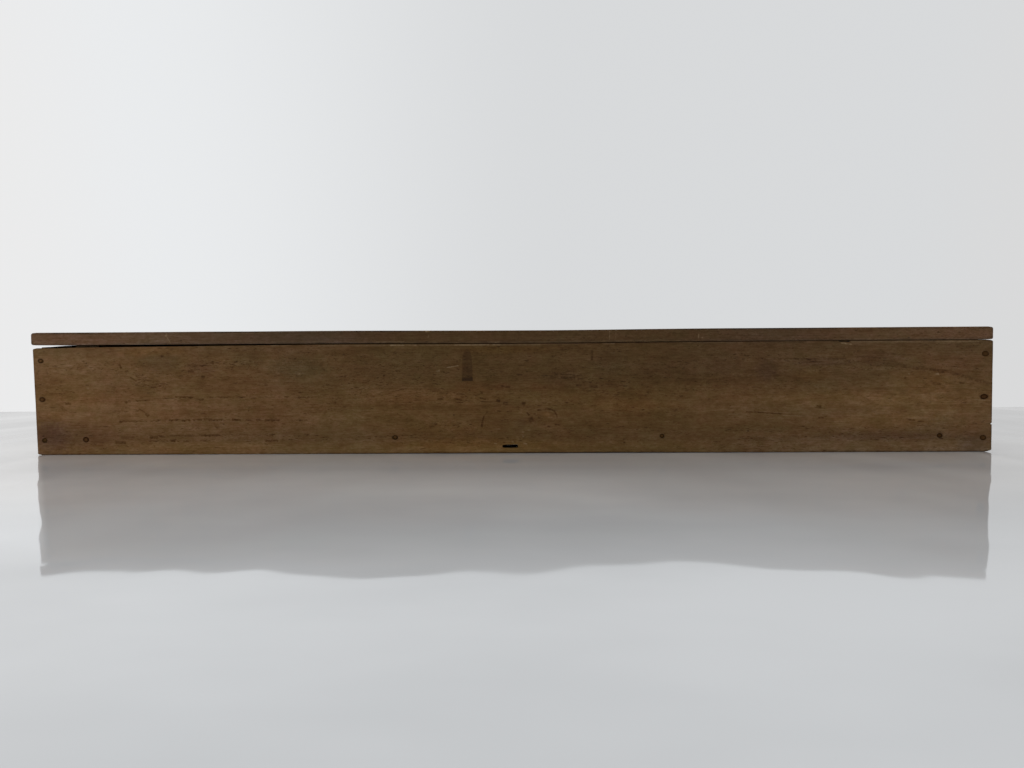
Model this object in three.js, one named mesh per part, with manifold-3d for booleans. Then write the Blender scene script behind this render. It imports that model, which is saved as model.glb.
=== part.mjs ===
// Long wooden box for one rolled hanging scroll, with a lift-off board lid.
//
// Millimetres, +Z up. X runs along the box, +Y is away from the side that faces
// the viewer. The origin is under the middle of the box, on the surface it
// stands on.
//
// Construction: two full-length side boards are nailed with tapered wooden pegs
// to two end boards that sit between them. A bottom board is let in between all
// four, 7 mm above the rim the box stands on, and is pegged through the sides
// and the ends. A slot for a flat tie cord goes through each side board just
// under the bottom board. Two rests with a half-round seat hold the knobs of
// the scroll's roller. The lid is one flat board with two cross battens pegged
// under it, which drop between the side boards and keep it from sliding.

import * as THREE from "three";
import { mergeVertices } from "three/addons/utils/BufferGeometryUtils.js";
import Module from "manifold-3d";

// ---- driving dimensions, mm -------------------------------------------------
const BODY_LEN = 620; // outside length of the box under the lid
const BODY_W = 80; // outside width
const BODY_H = 72; // height of the side boards
const SIDE_T = 8.5; // side board thickness
const END_T = 9; // end board thickness
const BOTTOM_T = 7; // bottom board thickness
const BOTTOM_UNDER = 7; // recess under the bottom board
const LID_OVER_LEFT = 1.25; // the lid overhangs the left end
const LID_OVER_RIGHT = 0.15; // and is all but flush at the right
const LID_W = 80.5;
const LID_T = 8.25;
const LID_SEAT = 0.125; // air between side boards and lid
const GLUE = 0.1; // glue line at every butted joint

// The front board's ends are sawn a little out of square: how far each end
// stands proud of the end board behind it, at the foot and at the top.
const FRONT_LEFT_FOOT = -0.45;
const FRONT_LEFT_TOP = 0.55;
const FRONT_RIGHT_FOOT = 0.85;
const FRONT_RIGHT_TOP = 0.35;

const BATTEN_L = 61.5; // across the box, 0.75 mm free at each side board
const BATTEN_T = 16; // along the box
const BATTEN_H = 7;
const BATTEN_IN = 22.5; // box end to the near face of the batten

const REST_T = 16; // along the box
const REST_H = 26; // above the bottom board
const REST_SEAT_R = 13; // half-round seat for the roller's knob

const PEG_HEAD_R = 1.6; // pegs taper from head to tip
const PEG_TIP_R = 1.1;
const PEG_FREE = 0.12; // radial gap between peg and hole
const PEG_LEN = 22.5; // pegs through a side or end board
const LID_PEG_LEN = 14; // pegs through the lid into a batten

const CORD_SLOT_L = 10; // flat cord slot through each side board
const CORD_SLOT_H = 2;
const CORD_SLOT_X = 2.2;
const CORD_SLOT_Z = 4.75; // centre height in the front board
const CORD_SLOT_Z_BACK = 2.6; // cut by hand, a little lower in the back board

// ---- derived ----------------------------------------------------------------
const SHIFT = 0.625; // puts the origin under the middle of box and lid together
const X0 = -BODY_LEN / 2 + SHIFT;
const X1 = BODY_LEN / 2 + SHIFT;
const LID_X0 = X0 - LID_OVER_LEFT;
const LID_X1 = X1 + LID_OVER_RIGHT;
const Y1 = BODY_W / 2;
const Y0 = -Y1;
const YI1 = Y1 - SIDE_T; // inner faces of the side boards
const YI0 = -YI1;
const BOTTOM_TOP = BOTTOM_UNDER + BOTTOM_T;
const LID_Z0 = BODY_H + LID_SEAT;
const LID_Z1 = LID_Z0 + LID_T;
const INNER_W = YI1 - YI0 - 2 * GLUE;

// Wear profile of the top edge: [distance from the end, drop]
const FRONT_LEFT_WEAR = [
  [0, 2.5],
  [1, 2.0],
  [3, 1.65],
  [6, 1.7],
  [9, 1.8],
  [16, 1.8],
  [26, 1.5],
  [35, 1.4],
  [48, 1.3],
  [68, 1.2],
  [107, 0.9],
  [173, 0.52],
  [238, 0.2],
  [300, 0],
];
const FRONT_RIGHT_WEAR = [
  [0, 1.1],
  [0.8, 0.6],
  [2.5, 0.35],
  [5, 0.1],
  [8, 0],
];
const BACK_LEFT_WEAR = [
  [0, 1.2],
  [0.8, 0.6],
  [3, 0.2],
  [8, 0],
];
const BACK_RIGHT_WEAR = [
  [0, 0.6],
  [0.8, 0.3],
  [3, 0],
];

// Top edge of the left end board, [y, z]: it is worn down with the front corner.
const LEFT_END_EDGE = [
  [6, 72],
  [0, 71.92],
  [-8, 71.7],
  [-14.5, 71.4],
  [-21, 71.08],
  [-27, 70.87],
  [-31.4, 70.7],
];

// ---- solids -----------------------------------------------------------------
const wasm = await Module();
wasm.setup();

function solid(geometry) {
  const g = geometry.clone();
  g.deleteAttribute("normal");
  g.deleteAttribute("uv");
  const m = mergeVertices(g, 1e-4);
  return new wasm.Manifold(
    new wasm.Mesh({
      numProp: 3,
      vertProperties: new Float32Array(m.attributes.position.array),
      triVerts: new Uint32Array(m.index.array),
    }),
  );
}

function geometryOf(manifold) {
  const m = manifold.getMesh();
  const n = m.numProp;
  const v = new Float32Array(m.numVert * 3);
  for (let i = 0; i < m.numVert; i++)
    v.set(m.vertProperties.subarray(i * n, i * n + 3), i * 3);
  const g = new THREE.BufferGeometry()
    .setAttribute("position", new THREE.BufferAttribute(v, 3))
    .setIndex(new THREE.BufferAttribute(new Uint32Array(m.triVerts), 1));
  const flat = g.toNonIndexed();
  flat.computeVertexNormals();
  return flat;
}

// A box by its corners, made with BoxGeometry.
function slab(x0, x1, y0, y1, z0, z1) {
  return new THREE.BoxGeometry(x1 - x0, y1 - y0, z1 - z0).translate(
    (x0 + x1) / 2,
    (y0 + y1) / 2,
    (z0 + z1) / 2,
  );
}

// An outline in the X-Z plane, extruded along +Y from y0 to y1.
function plateXZ(points, y0, y1) {
  const shape = new THREE.Shape(points.map(([x, z]) => new THREE.Vector2(x, -z)));
  const g = new THREE.ExtrudeGeometry(shape, {
    depth: y1 - y0,
    bevelEnabled: false,
  });
  g.rotateX(-Math.PI / 2); // (x, -z, d) -> (x, d, z)
  g.translate(0, y0, 0);
  return g;
}

// An outline in the Y-Z plane, extruded along +X from x0 to x1.
function plateYZ(points, x0, x1) {
  const shape = new THREE.Shape(points.map(([y, z]) => new THREE.Vector2(y, z)));
  const g = new THREE.ExtrudeGeometry(shape, {
    depth: x1 - x0,
    bevelEnabled: false,
    curveSegments: 24,
  });
  // shape x -> +Y, shape y -> +Z, depth -> +X
  g.applyMatrix4(new THREE.Matrix4().set(0, 0, 1, x0, 1, 0, 0, 0, 0, 1, 0, 0, 0, 0, 0, 1));
  return g;
}

// A tapered round rod from head point p along unit direction d.
function rod(p, d, length, headR, tipR) {
  const g = new THREE.CylinderGeometry(tipR, headR, length, 12);
  g.translate(0, length / 2, 0);
  g.applyQuaternion(
    new THREE.Quaternion().setFromUnitVectors(
      new THREE.Vector3(0, 1, 0),
      new THREE.Vector3(...d),
    ),
  );
  g.translate(...p);
  return g;
}

const pegs = []; // {name, p, d, length}
const peg = (name, p, d, length = PEG_LEN) => pegs.push({ name, p, d, length });

// Cuts every peg hole that meets the box [lo, hi] out of a solid.
function bored(manifold) {
  let out = manifold;
  for (const q of pegs) {
    const start = q.p.map((v, i) => v - q.d[i] * 1);
    const taper = (PEG_HEAD_R - PEG_TIP_R) / q.length;
    const hole = solid(
      rod(
        start,
        q.d,
        q.length + 1.5,
        PEG_HEAD_R + taper + PEG_FREE,
        PEG_TIP_R - 0.5 * taper + PEG_FREE,
      ),
    );
    out = out.subtract(hole);
  }
  return out;
}

// ---- peg places -------------------------------------------------------------
// front side: read from the photograph; back side and ends: the same layout with
// the small shifts a hand-made box has.
const frontCorner = {
  left: [
    [-304.7, 61.9],
    [-304.5, 36.6],
    [-303.9, 9.7],
  ],
  right: [
    [306.1, 63.0],
    [305.9, 35.5],
    [305.8, 9.1],
  ],
};
const backCorner = {
  left: [
    [-304.8, 62.6],
    [-304.3, 35.2],
    [-304.6, 9.3],
  ],
  right: [
    [305.9, 61.2],
    [306.2, 36.9],
    [306.0, 9.8],
  ],
};
const frontBottom = [
  [-276.4, 10.1],
  [-72.8, 10.7],
  [100.5, 11.0],
  [278.2, 10.6],
];
const backBottom = [
  [-274.1, 10.6],
  [-95.3, 10.2],
  [88.6, 10.9],
  [279.0, 10.3],
];
const heights = ["top", "middle", "low"];
for (const side of ["left", "right"])
  frontCorner[side].forEach(([x, z], i) =>
    peg(`front_${side}_corner_peg_${heights[i]}`, [x, Y0, z], [0, 1, 0]),
  );
for (const side of ["left", "right"])
  backCorner[side].forEach(([x, z], i) =>
    peg(`back_${side}_corner_peg_${heights[i]}`, [x, Y1, z], [0, -1, 0]),
  );
frontBottom.forEach(([x, z], i) =>
  peg(`front_bottom_peg_${i + 1}`, [x, Y0, z], [0, 1, 0]),
);
backBottom.forEach(([x, z], i) =>
  peg(`back_bottom_peg_${i + 1}`, [x, Y1, z], [0, -1, 0]),
);
[-13.5, 12.5].forEach((y, i) =>
  peg(`left_end_bottom_peg_${i + 1}`, [X0, y, 10.5], [1, 0, 0]),
);
[-12, 14].forEach((y, i) =>
  peg(`right_end_bottom_peg_${i + 1}`, [X1, y, 10.4], [-1, 0, 0]),
);

const battenLeft = [X0 + BATTEN_IN, X0 + BATTEN_IN + BATTEN_T];
const battenRight = [X1 - BATTEN_IN - BATTEN_T, X1 - BATTEN_IN];
[
  ["left", battenLeft],
  ["right", battenRight],
].forEach(([side, [a, b]]) =>
  [-20, 20.5].forEach((y, i) =>
    peg(
      `lid_${side}_batten_peg_${i + 1}`,
      [(a + b) / 2, y, LID_Z1],
      [0, 0, -1],
      LID_PEG_LEN,
    ),
  ),
);

// ---- boards -----------------------------------------------------------------
// ends: the X of the board's ends, [left foot, left top, right foot, right top]
function sideOutline(left, right, ends) {
  const [leftFoot, leftTop, rightFoot, rightTop] = ends;
  const pts = [
    [leftFoot, 0],
    [rightFoot, 0],
  ];
  for (const [d, drop] of right) pts.push([rightTop - d, BODY_H - drop]);
  for (const [d, drop] of [...left].reverse())
    pts.push([leftTop + d, BODY_H - drop]);
  return pts;
}

function sideBoard(left, right, ends, y0, y1, slotZ) {
  const cord = slab(
    CORD_SLOT_X - CORD_SLOT_L / 2,
    CORD_SLOT_X + CORD_SLOT_L / 2,
    y0 - 1,
    y1 + 1,
    slotZ - CORD_SLOT_H / 2,
    slotZ + CORD_SLOT_H / 2,
  );
  return bored(
    solid(plateXZ(sideOutline(left, right, ends), y0, y1)).subtract(solid(cord)),
  );
}

function endBoard(x0, x1, frontEdge) {
  const pts = [
    [YI0 + GLUE, 0],
    [YI1 - GLUE, 0],
    [YI1 - GLUE, BODY_H],
    ...frontEdge,
  ];
  return bored(solid(plateYZ(pts, x0, x1)));
}

const restTop = BOTTOM_TOP + REST_H;
function rest(x0, x1) {
  const pts = [
    [-INNER_W / 2, BOTTOM_TOP + GLUE],
    [INNER_W / 2, BOTTOM_TOP + GLUE],
    [INNER_W / 2, restTop],
  ];
  const n = 20; // half-round seat, cut down from the top
  for (let i = 0; i <= n; i++) {
    const a = (Math.PI * i) / n;
    pts.push([REST_SEAT_R * Math.cos(a), restTop - REST_SEAT_R * Math.sin(a)]);
  }
  pts.push([-INNER_W / 2, restTop]);
  return solid(plateYZ(pts, x0, x1));
}

// ---- scene graph ------------------------------------------------------------
const outside = new THREE.MeshStandardMaterial({
  color: 0x6f5638,
  roughness: 0.62,
  metalness: 0,
});
const inside = new THREE.MeshStandardMaterial({
  color: 0x9a7c55,
  roughness: 0.75,
  metalness: 0,
});
const pegWood = new THREE.MeshStandardMaterial({
  color: 0x4a3320,
  roughness: 0.55,
  metalness: 0,
});

const scrollBox = new THREE.Group();
const body = new THREE.Group();
const lid = new THREE.Group();
scrollBox.add(body, lid);

function add(group, name, manifold, material) {
  const mesh = new THREE.Mesh(geometryOf(manifold), material);
  mesh.name = name;
  group.add(mesh);
}

const frontEnds = [
  X0 - FRONT_LEFT_FOOT,
  X0 - FRONT_LEFT_TOP,
  X1 + FRONT_RIGHT_FOOT,
  X1 + FRONT_RIGHT_TOP,
];
const backEnds = [X0, X0, X1, X1];
add(
  body,
  "front_side_board",
  sideBoard(FRONT_LEFT_WEAR, FRONT_RIGHT_WEAR, frontEnds, Y0, YI0, CORD_SLOT_Z),
  outside,
);
add(
  body,
  "back_side_board",
  sideBoard(BACK_LEFT_WEAR, BACK_RIGHT_WEAR, backEnds, YI1, Y1, CORD_SLOT_Z_BACK),
  outside,
);
add(body, "left_end_board", endBoard(X0, X0 + END_T, LEFT_END_EDGE), outside);
add(body, "right_end_board", endBoard(X1 - END_T, X1, [[YI0 + GLUE, BODY_H]]), outside);
add(
  body,
  "bottom_board",
  bored(
    solid(
      slab(
        X0 + END_T + GLUE,
        X1 - END_T - GLUE,
        YI0 + GLUE,
        YI1 - GLUE,
        BOTTOM_UNDER,
        BOTTOM_TOP,
      ),
    ),
  ),
  inside,
);
add(
  body,
  "left_scroll_rest",
  rest(X0 + END_T + GLUE, X0 + END_T + GLUE + REST_T),
  inside,
);
add(
  body,
  "right_scroll_rest",
  rest(X1 - END_T - GLUE - REST_T, X1 - END_T - GLUE),
  inside,
);

add(
  lid,
  "lid_board",
  bored(solid(slab(LID_X0, LID_X1, -LID_W / 2, LID_W / 2, LID_Z0, LID_Z1))),
  outside,
);
[
  ["lid_left_batten", battenLeft],
  ["lid_right_batten", battenRight],
].forEach(([name, [a, b]]) =>
  add(
    lid,
    name,
    bored(
      solid(
        slab(
          a,
          b,
          -BATTEN_L / 2,
          BATTEN_L / 2,
          LID_Z0 - GLUE - BATTEN_H,
          LID_Z0 - GLUE,
        ),
      ),
    ),
    inside,
  ),
);

for (const q of pegs)
  add(
    q.name.startsWith("lid_") ? lid : body,
    q.name,
    solid(rod(q.p, q.d, q.length, PEG_HEAD_R, PEG_TIP_R)),
    pegWood,
  );

export default scrollBox;
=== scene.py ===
import math

import bpy
import numpy as np
from mathutils import Matrix, Vector


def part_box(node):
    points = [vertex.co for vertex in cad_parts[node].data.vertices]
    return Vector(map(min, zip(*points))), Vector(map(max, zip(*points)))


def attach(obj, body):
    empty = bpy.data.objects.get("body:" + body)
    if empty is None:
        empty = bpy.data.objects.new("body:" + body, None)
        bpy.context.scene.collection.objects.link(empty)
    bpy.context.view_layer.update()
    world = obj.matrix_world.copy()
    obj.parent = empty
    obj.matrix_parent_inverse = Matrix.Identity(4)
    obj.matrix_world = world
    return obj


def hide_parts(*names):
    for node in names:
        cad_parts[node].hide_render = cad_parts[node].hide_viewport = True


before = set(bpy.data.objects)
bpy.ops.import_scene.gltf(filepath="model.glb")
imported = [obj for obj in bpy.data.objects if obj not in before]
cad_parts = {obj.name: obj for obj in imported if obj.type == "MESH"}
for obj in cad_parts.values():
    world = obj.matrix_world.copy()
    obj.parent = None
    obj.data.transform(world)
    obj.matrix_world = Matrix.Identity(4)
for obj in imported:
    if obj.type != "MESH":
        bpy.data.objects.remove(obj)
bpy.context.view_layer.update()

# Looks of a long pegged wooden box with a lift-off board lid.
# Lengths here are millimetres and are turned to metres when a mesh is made.

MM = 0.001
rng = np.random.default_rng(731)


# ---------------------------------------------------------------- small noise
def lattice_noise(p, freq, seed):
    """Smooth value noise in -1..1 at points p (n,3), repeatable."""
    q = np.asarray(p, float) * freq + 1000.0
    base = np.floor(q).astype(np.int64)
    f = q - base
    f = f * f * (3 - 2 * f)

    def h(ix, iy, iz):
        n = (ix * 73856093) ^ (iy * 19349663) ^ (iz * 83492791) ^ (seed * 2654435761)
        n = (n ^ (n >> 13)) * 1274126177
        n = n & 0x7FFFFFFF
        n = ((n >> 7) ^ n) & 0xFFFFF
        return n / float(0xFFFFF) * 2 - 1

    x, y, z = base.T
    fx, fy, fz = f.T
    out = 0
    for dx in (0, 1):
        for dy in (0, 1):
            for dz in (0, 1):
                w = (
                    (fx if dx else 1 - fx)
                    * (fy if dy else 1 - fy)
                    * (fz if dz else 1 - fz)
                )
                out = out + w * h(x + dx, y + dy, z + dz)
    return out


def smooth(a, b, x):
    t = np.clip((x - a) / (b - a), 0, 1)
    return t * t * (3 - 2 * t)


# ------------------------------------------------------------------- meshes
def spaced(lo, hi, step, r, fine=4):
    a = [lo + r * k / fine for k in range(fine + 1)]
    n = max(2, int(round((hi - lo - 2 * r) / step)))
    m = [lo + r + (hi - lo - 2 * r) * k / n for k in range(1, n)]
    b = [hi - r + r * k / fine for k in range(fine + 1)]
    return np.array(a + m + b)


def board_points(lo, hi, step, rmax, rmin, seed, freq=0.06, fine=4):
    """A box surface as a lattice, its arrises rounded by a radius that wanders."""
    lo, hi = np.array(lo, float), np.array(hi, float)
    xs, ys, zs = (spaced(lo[i], hi[i], step[i], rmax, fine) for i in range(3))
    nx, ny, nz = len(xs), len(ys), len(zs)
    idx = -np.ones((nx, ny, nz), int)
    surf = np.zeros((nx, ny, nz), bool)
    surf[0], surf[-1] = True, True
    surf[:, 0], surf[:, -1] = True, True
    surf[:, :, 0], surf[:, :, -1] = True, True
    ii = np.argwhere(surf)
    idx[surf] = np.arange(len(ii))
    p = np.stack([xs[ii[:, 0]], ys[ii[:, 1]], zs[ii[:, 2]]], 1)

    def quads(grid, flip):
        a, b, c, d = grid[:-1, :-1], grid[1:, :-1], grid[1:, 1:], grid[:-1, 1:]
        q = np.stack([a.ravel(), b.ravel(), c.ravel(), d.ravel()], 1)
        return q[:, ::-1] if flip else q

    faces = np.concatenate(
        [
            quads(idx[0], True),
            quads(idx[-1], False),
            quads(idx[:, 0], False),
            quads(idx[:, -1], True),
            quads(idx[:, :, 0], True),
            quads(idx[:, :, -1], False),
        ]
    )
    n = 0.65 * lattice_noise(p, freq, seed) + 0.35 * lattice_noise(p, freq * 4, seed + 5)
    r = rmin + (rmax - rmin) * np.clip(0.5 + 0.7 * n, 0, 1)
    r = r[:, None]
    q = np.clip(p, lo + r, hi - r)
    d = p - q
    length = np.linalg.norm(d, axis=1, keepdims=True)
    out = np.where(length > 1e-9, q + d / np.maximum(length, 1e-9) * r, p)
    return out, faces


def mesh_object(name, points, faces):
    me = bpy.data.meshes.new(name)
    me.from_pydata((np.asarray(points) * MM).tolist(), [], [list(map(int, f)) for f in faces])
    me.validate()
    me.update()
    ob = bpy.data.objects.new(name, me)
    bpy.context.scene.collection.objects.link(ob)
    return ob


def rod_mesh(p, d, length, r_head, r_tip, seed, segments=32, proud=0.0, dome=0.12, wobble=0.05, oval=1.0):
    """A hand-cut tapered peg: p is the centre of its head, d points inwards.
    oval widens the head along the grain, less and less towards the tip."""
    d = Vector(d).normalized()
    up = Vector((0, 0, 1)) if abs(d.z) < 0.9 else Vector((0, 1, 0))
    e1 = d.cross(up).normalized()
    e2 = d.cross(e1).normalized()
    start = Vector(p) - d * proud
    g = np.random.default_rng(seed)
    ph = g.uniform(0, 6.28, 3)
    ang = np.linspace(0, 2 * np.pi, segments, endpoint=False)
    wob = 1 + wobble * (
        np.cos(2 * ang + ph[0]) + 0.6 * np.cos(3 * ang + ph[1]) + 0.35 * np.cos(5 * ang + ph[2])
    )
    rings = [(0.0 - dome, 0.28), (-dome * 0.75, 0.6), (0.0, 0.92), (0.12, 1.0)]
    stations = [(s, f * r_head) for s, f in rings]
    for t in (0.05, 0.2, 0.45, 0.7, 0.93):
        stations.append((t * length, r_head + (r_tip - r_head) * t))
    stations.append((length + proud - 0.3, r_tip))
    stations.append((length + proud, r_tip * 0.7))
    pts, faces = [], []
    for s, rad in stations:
        wide = 1 + (oval - 1) * max(0.0, 1 - max(0.0, s) / 6.0)
        for a, w in zip(ang, wob):
            pts.append(start + d * (s + dome) + (e1 * math.cos(a) * wide + e2 * math.sin(a)) * rad * w)
    top, bot = len(pts), len(pts) + 1
    pts.append(start)
    pts.append(start + d * (length + proud + dome))
    n = segments
    for k in range(len(stations) - 1):
        for i in range(n):
            j = (i + 1) % n
            faces.append([k * n + i, k * n + j, (k + 1) * n + j, (k + 1) * n + i])
    for i in range(n):
        j = (i + 1) % n
        faces.append([top, j, i])
        m = (len(stations) - 1) * n
        faces.append([bot, m + i, m + j])
    return np.array([list(v) for v in pts]), faces


def outward(ob):
    import bmesh

    bm = bmesh.new()
    bm.from_mesh(ob.data)
    bmesh.ops.recalc_face_normals(bm, faces=bm.faces)
    bm.to_mesh(ob.data)
    bm.free()
    return ob


def cut(ob, cutter):
    m = ob.modifiers.new("cut", "BOOLEAN")
    m.operation = "DIFFERENCE"
    m.solver = "MANIFOLD"
    m.object = cutter
    bpy.context.view_layer.update()
    dg = bpy.context.evaluated_depsgraph_get()
    me = bpy.data.meshes.new_from_object(ob.evaluated_get(dg))
    ob.modifiers.clear()
    old = ob.data
    ob.data = me
    bpy.data.meshes.remove(old)
    return ob


def shade(ob, angle=38):
    me = ob.data
    me.polygons.foreach_set("use_smooth", [True] * len(me.polygons))
    me.set_sharp_from_angle(angle=math.radians(angle))
    return ob


def remove(ob):
    me = ob.data
    bpy.data.objects.remove(ob)
    bpy.data.meshes.remove(me)


# ---------------------------------------------------------------- node helper
class Tree:
    """Short words for building a node material."""

    def __init__(self, name):
        self.mat = bpy.data.materials.new(name)
        self.mat.use_nodes = True
        self.t = self.mat.node_tree
        self.t.nodes.clear()
        self.n = self.t.nodes

    def put(self, socket, value):
        if isinstance(value, bpy.types.NodeSocket):
            self.t.links.new(value, socket)
        elif value is not None:
            socket.default_value = value

    def math(self, op, a, b=None, c=None, clamp=False):
        n = self.n.new("ShaderNodeMath")
        n.operation, n.use_clamp = op, clamp
        for s, v in zip(n.inputs, (a, b, c)):
            self.put(s, v)
        return n.outputs[0]

    def add(self, a, b):
        return self.math("ADD", a, b)

    def sub(self, a, b):
        return self.math("SUBTRACT", a, b)

    def mul(self, a, b):
        return self.math("MULTIPLY", a, b)

    def mad(self, a, b, c):
        return self.math("MULTIPLY_ADD", a, b, c)

    def lo(self, a, b):
        return self.math("MINIMUM", a, b)

    def hi(self, a, b):
        return self.math("MAXIMUM", a, b)

    def mad3(self, v, s, o):
        n = self.n.new("ShaderNodeVectorMath")
        n.operation = "MULTIPLY_ADD"
        self.put(n.inputs[0], v)
        n.inputs[1].default_value = s
        n.inputs[2].default_value = o
        return n.outputs[0]

    def addv(self, a, b):
        n = self.n.new("ShaderNodeVectorMath")
        n.operation = "ADD"
        self.put(n.inputs[0], a)
        self.put(n.inputs[1], b)
        return n.outputs[0]

    def xyz(self, x, y, z):
        n = self.n.new("ShaderNodeCombineXYZ")
        for s, v in zip(n.inputs, (x, y, z)):
            self.put(s, v)
        return n.outputs[0]

    def split(self, v):
        n = self.n.new("ShaderNodeSeparateXYZ")
        self.put(n.inputs[0], v)
        return n.outputs

    def step(self, x, a, b, c=0.0, d=1.0):
        """Smoothstep of x from a..b to c..d."""
        n = self.n.new("ShaderNodeMapRange")
        n.interpolation_type = "SMOOTHSTEP"
        n.clamp = False  # a smoothstep is already held between its ends
        for s, v in zip(n.inputs[:5], (x, a, b, c, d)):
            self.put(s, v)
        return n.outputs[0]

    def line(self, x, a, b, c=0.0, d=1.0):
        n = self.n.new("ShaderNodeMapRange")
        for s, v in zip(n.inputs[:5], (x, a, b, c, d)):
            self.put(s, v)
        return n.outputs[0]

    def noise(self, v, scale=1.0, detail=2.0, rough=0.5, distort=0.0):
        n = self.n.new("ShaderNodeTexNoise")
        self.put(n.inputs["Vector"], v)
        n.inputs["Scale"].default_value = scale
        n.inputs["Detail"].default_value = detail
        n.inputs["Roughness"].default_value = rough
        n.inputs["Distortion"].default_value = distort
        return n.outputs[0]

    def cells(self, v, scale=1.0, random=1.0):
        n = self.n.new("ShaderNodeTexVoronoi")
        self.put(n.inputs["Vector"], v)
        n.inputs["Scale"].default_value = scale
        n.inputs["Randomness"].default_value = random
        return n.outputs["Distance"], n.outputs["Color"]

    def mix(self, f, a, b, kind="MIX"):
        n = self.n.new("ShaderNodeMix")
        n.data_type = "RGBA"
        n.blend_type = kind
        n.clamp_factor = True
        n.clamp_result = False
        self.put(n.inputs[0], f)
        for s, v in ((n.inputs[6], a), (n.inputs[7], b)):
            if isinstance(v, tuple) and len(v) == 3:
                v = (*v, 1.0)
            self.put(s, v)
        return n.outputs[2]

    def shade(self, colour, factor):
        """colour times a number socket."""
        n = self.n.new("ShaderNodeCombineColor")
        for s in n.inputs[:3]:
            self.put(s, factor)
        return self.mix(1.0, colour, n.outputs[0], "MULTIPLY")

    def dot(self, v, c):
        n = self.n.new("ShaderNodeVectorMath")
        n.operation = "DOT_PRODUCT"
        self.put(n.inputs[0], v)
        n.inputs[1].default_value = c
        return n.outputs["Value"]

    def length(self, v):
        n = self.n.new("ShaderNodeVectorMath")
        n.operation = "LENGTH"
        self.put(n.inputs[0], v)
        return n.outputs["Value"]

    def stroke(self, v, a0, b0, a1, b1, half, inner, soft, strength=1.0):
        """Mask of a straight stroke; v holds the face's two coordinates and 1."""
        ln = math.hypot(a1 - a0, b1 - b0)
        ua, ub = (a1 - a0) / ln, (b1 - b0) / ln
        across = self.math("ABSOLUTE", self.dot(v, (ub, -ua, b0 * ua - a0 * ub)))
        across = self.step(across, half, inner, 0.0, strength)
        side_lit_along = self.math("ABSOLUTE", self.dot(v, (ua, ub, -(a0 * ua + b0 * ub) - ln / 2)))
        return self.mul(across, self.step(side_lit_along, ln / 2 + soft, ln / 2 - soft))

    def band(self, x, a, b, soft):
        """1 between a and b with soft edges."""
        return self.mul(self.step(x, a - soft, a + soft), self.step(x, b + soft, b - soft))

    def finish(self, colour, rough, height, depth, strength=1.0, ior=1.45, sheen=None):
        out = self.n.new("ShaderNodeOutputMaterial")
        p = self.n.new("ShaderNodeBsdfPrincipled")
        self.put(p.inputs["Base Color"], colour)
        self.put(p.inputs["Roughness"], rough)
        p.inputs["IOR"].default_value = ior
        if sheen is not None:
            p.inputs["Specular IOR Level"].default_value = sheen
        if height is not None:
            b = self.n.new("ShaderNodeBump")
            b.inputs["Strength"].default_value = strength
            b.inputs["Distance"].default_value = depth * MM
            self.put(b.inputs["Height"], height)
            self.put(p.inputs["Normal"], b.outputs[0])
        self.put(out.inputs[0], p.outputs[0])
        return self.mat


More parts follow.
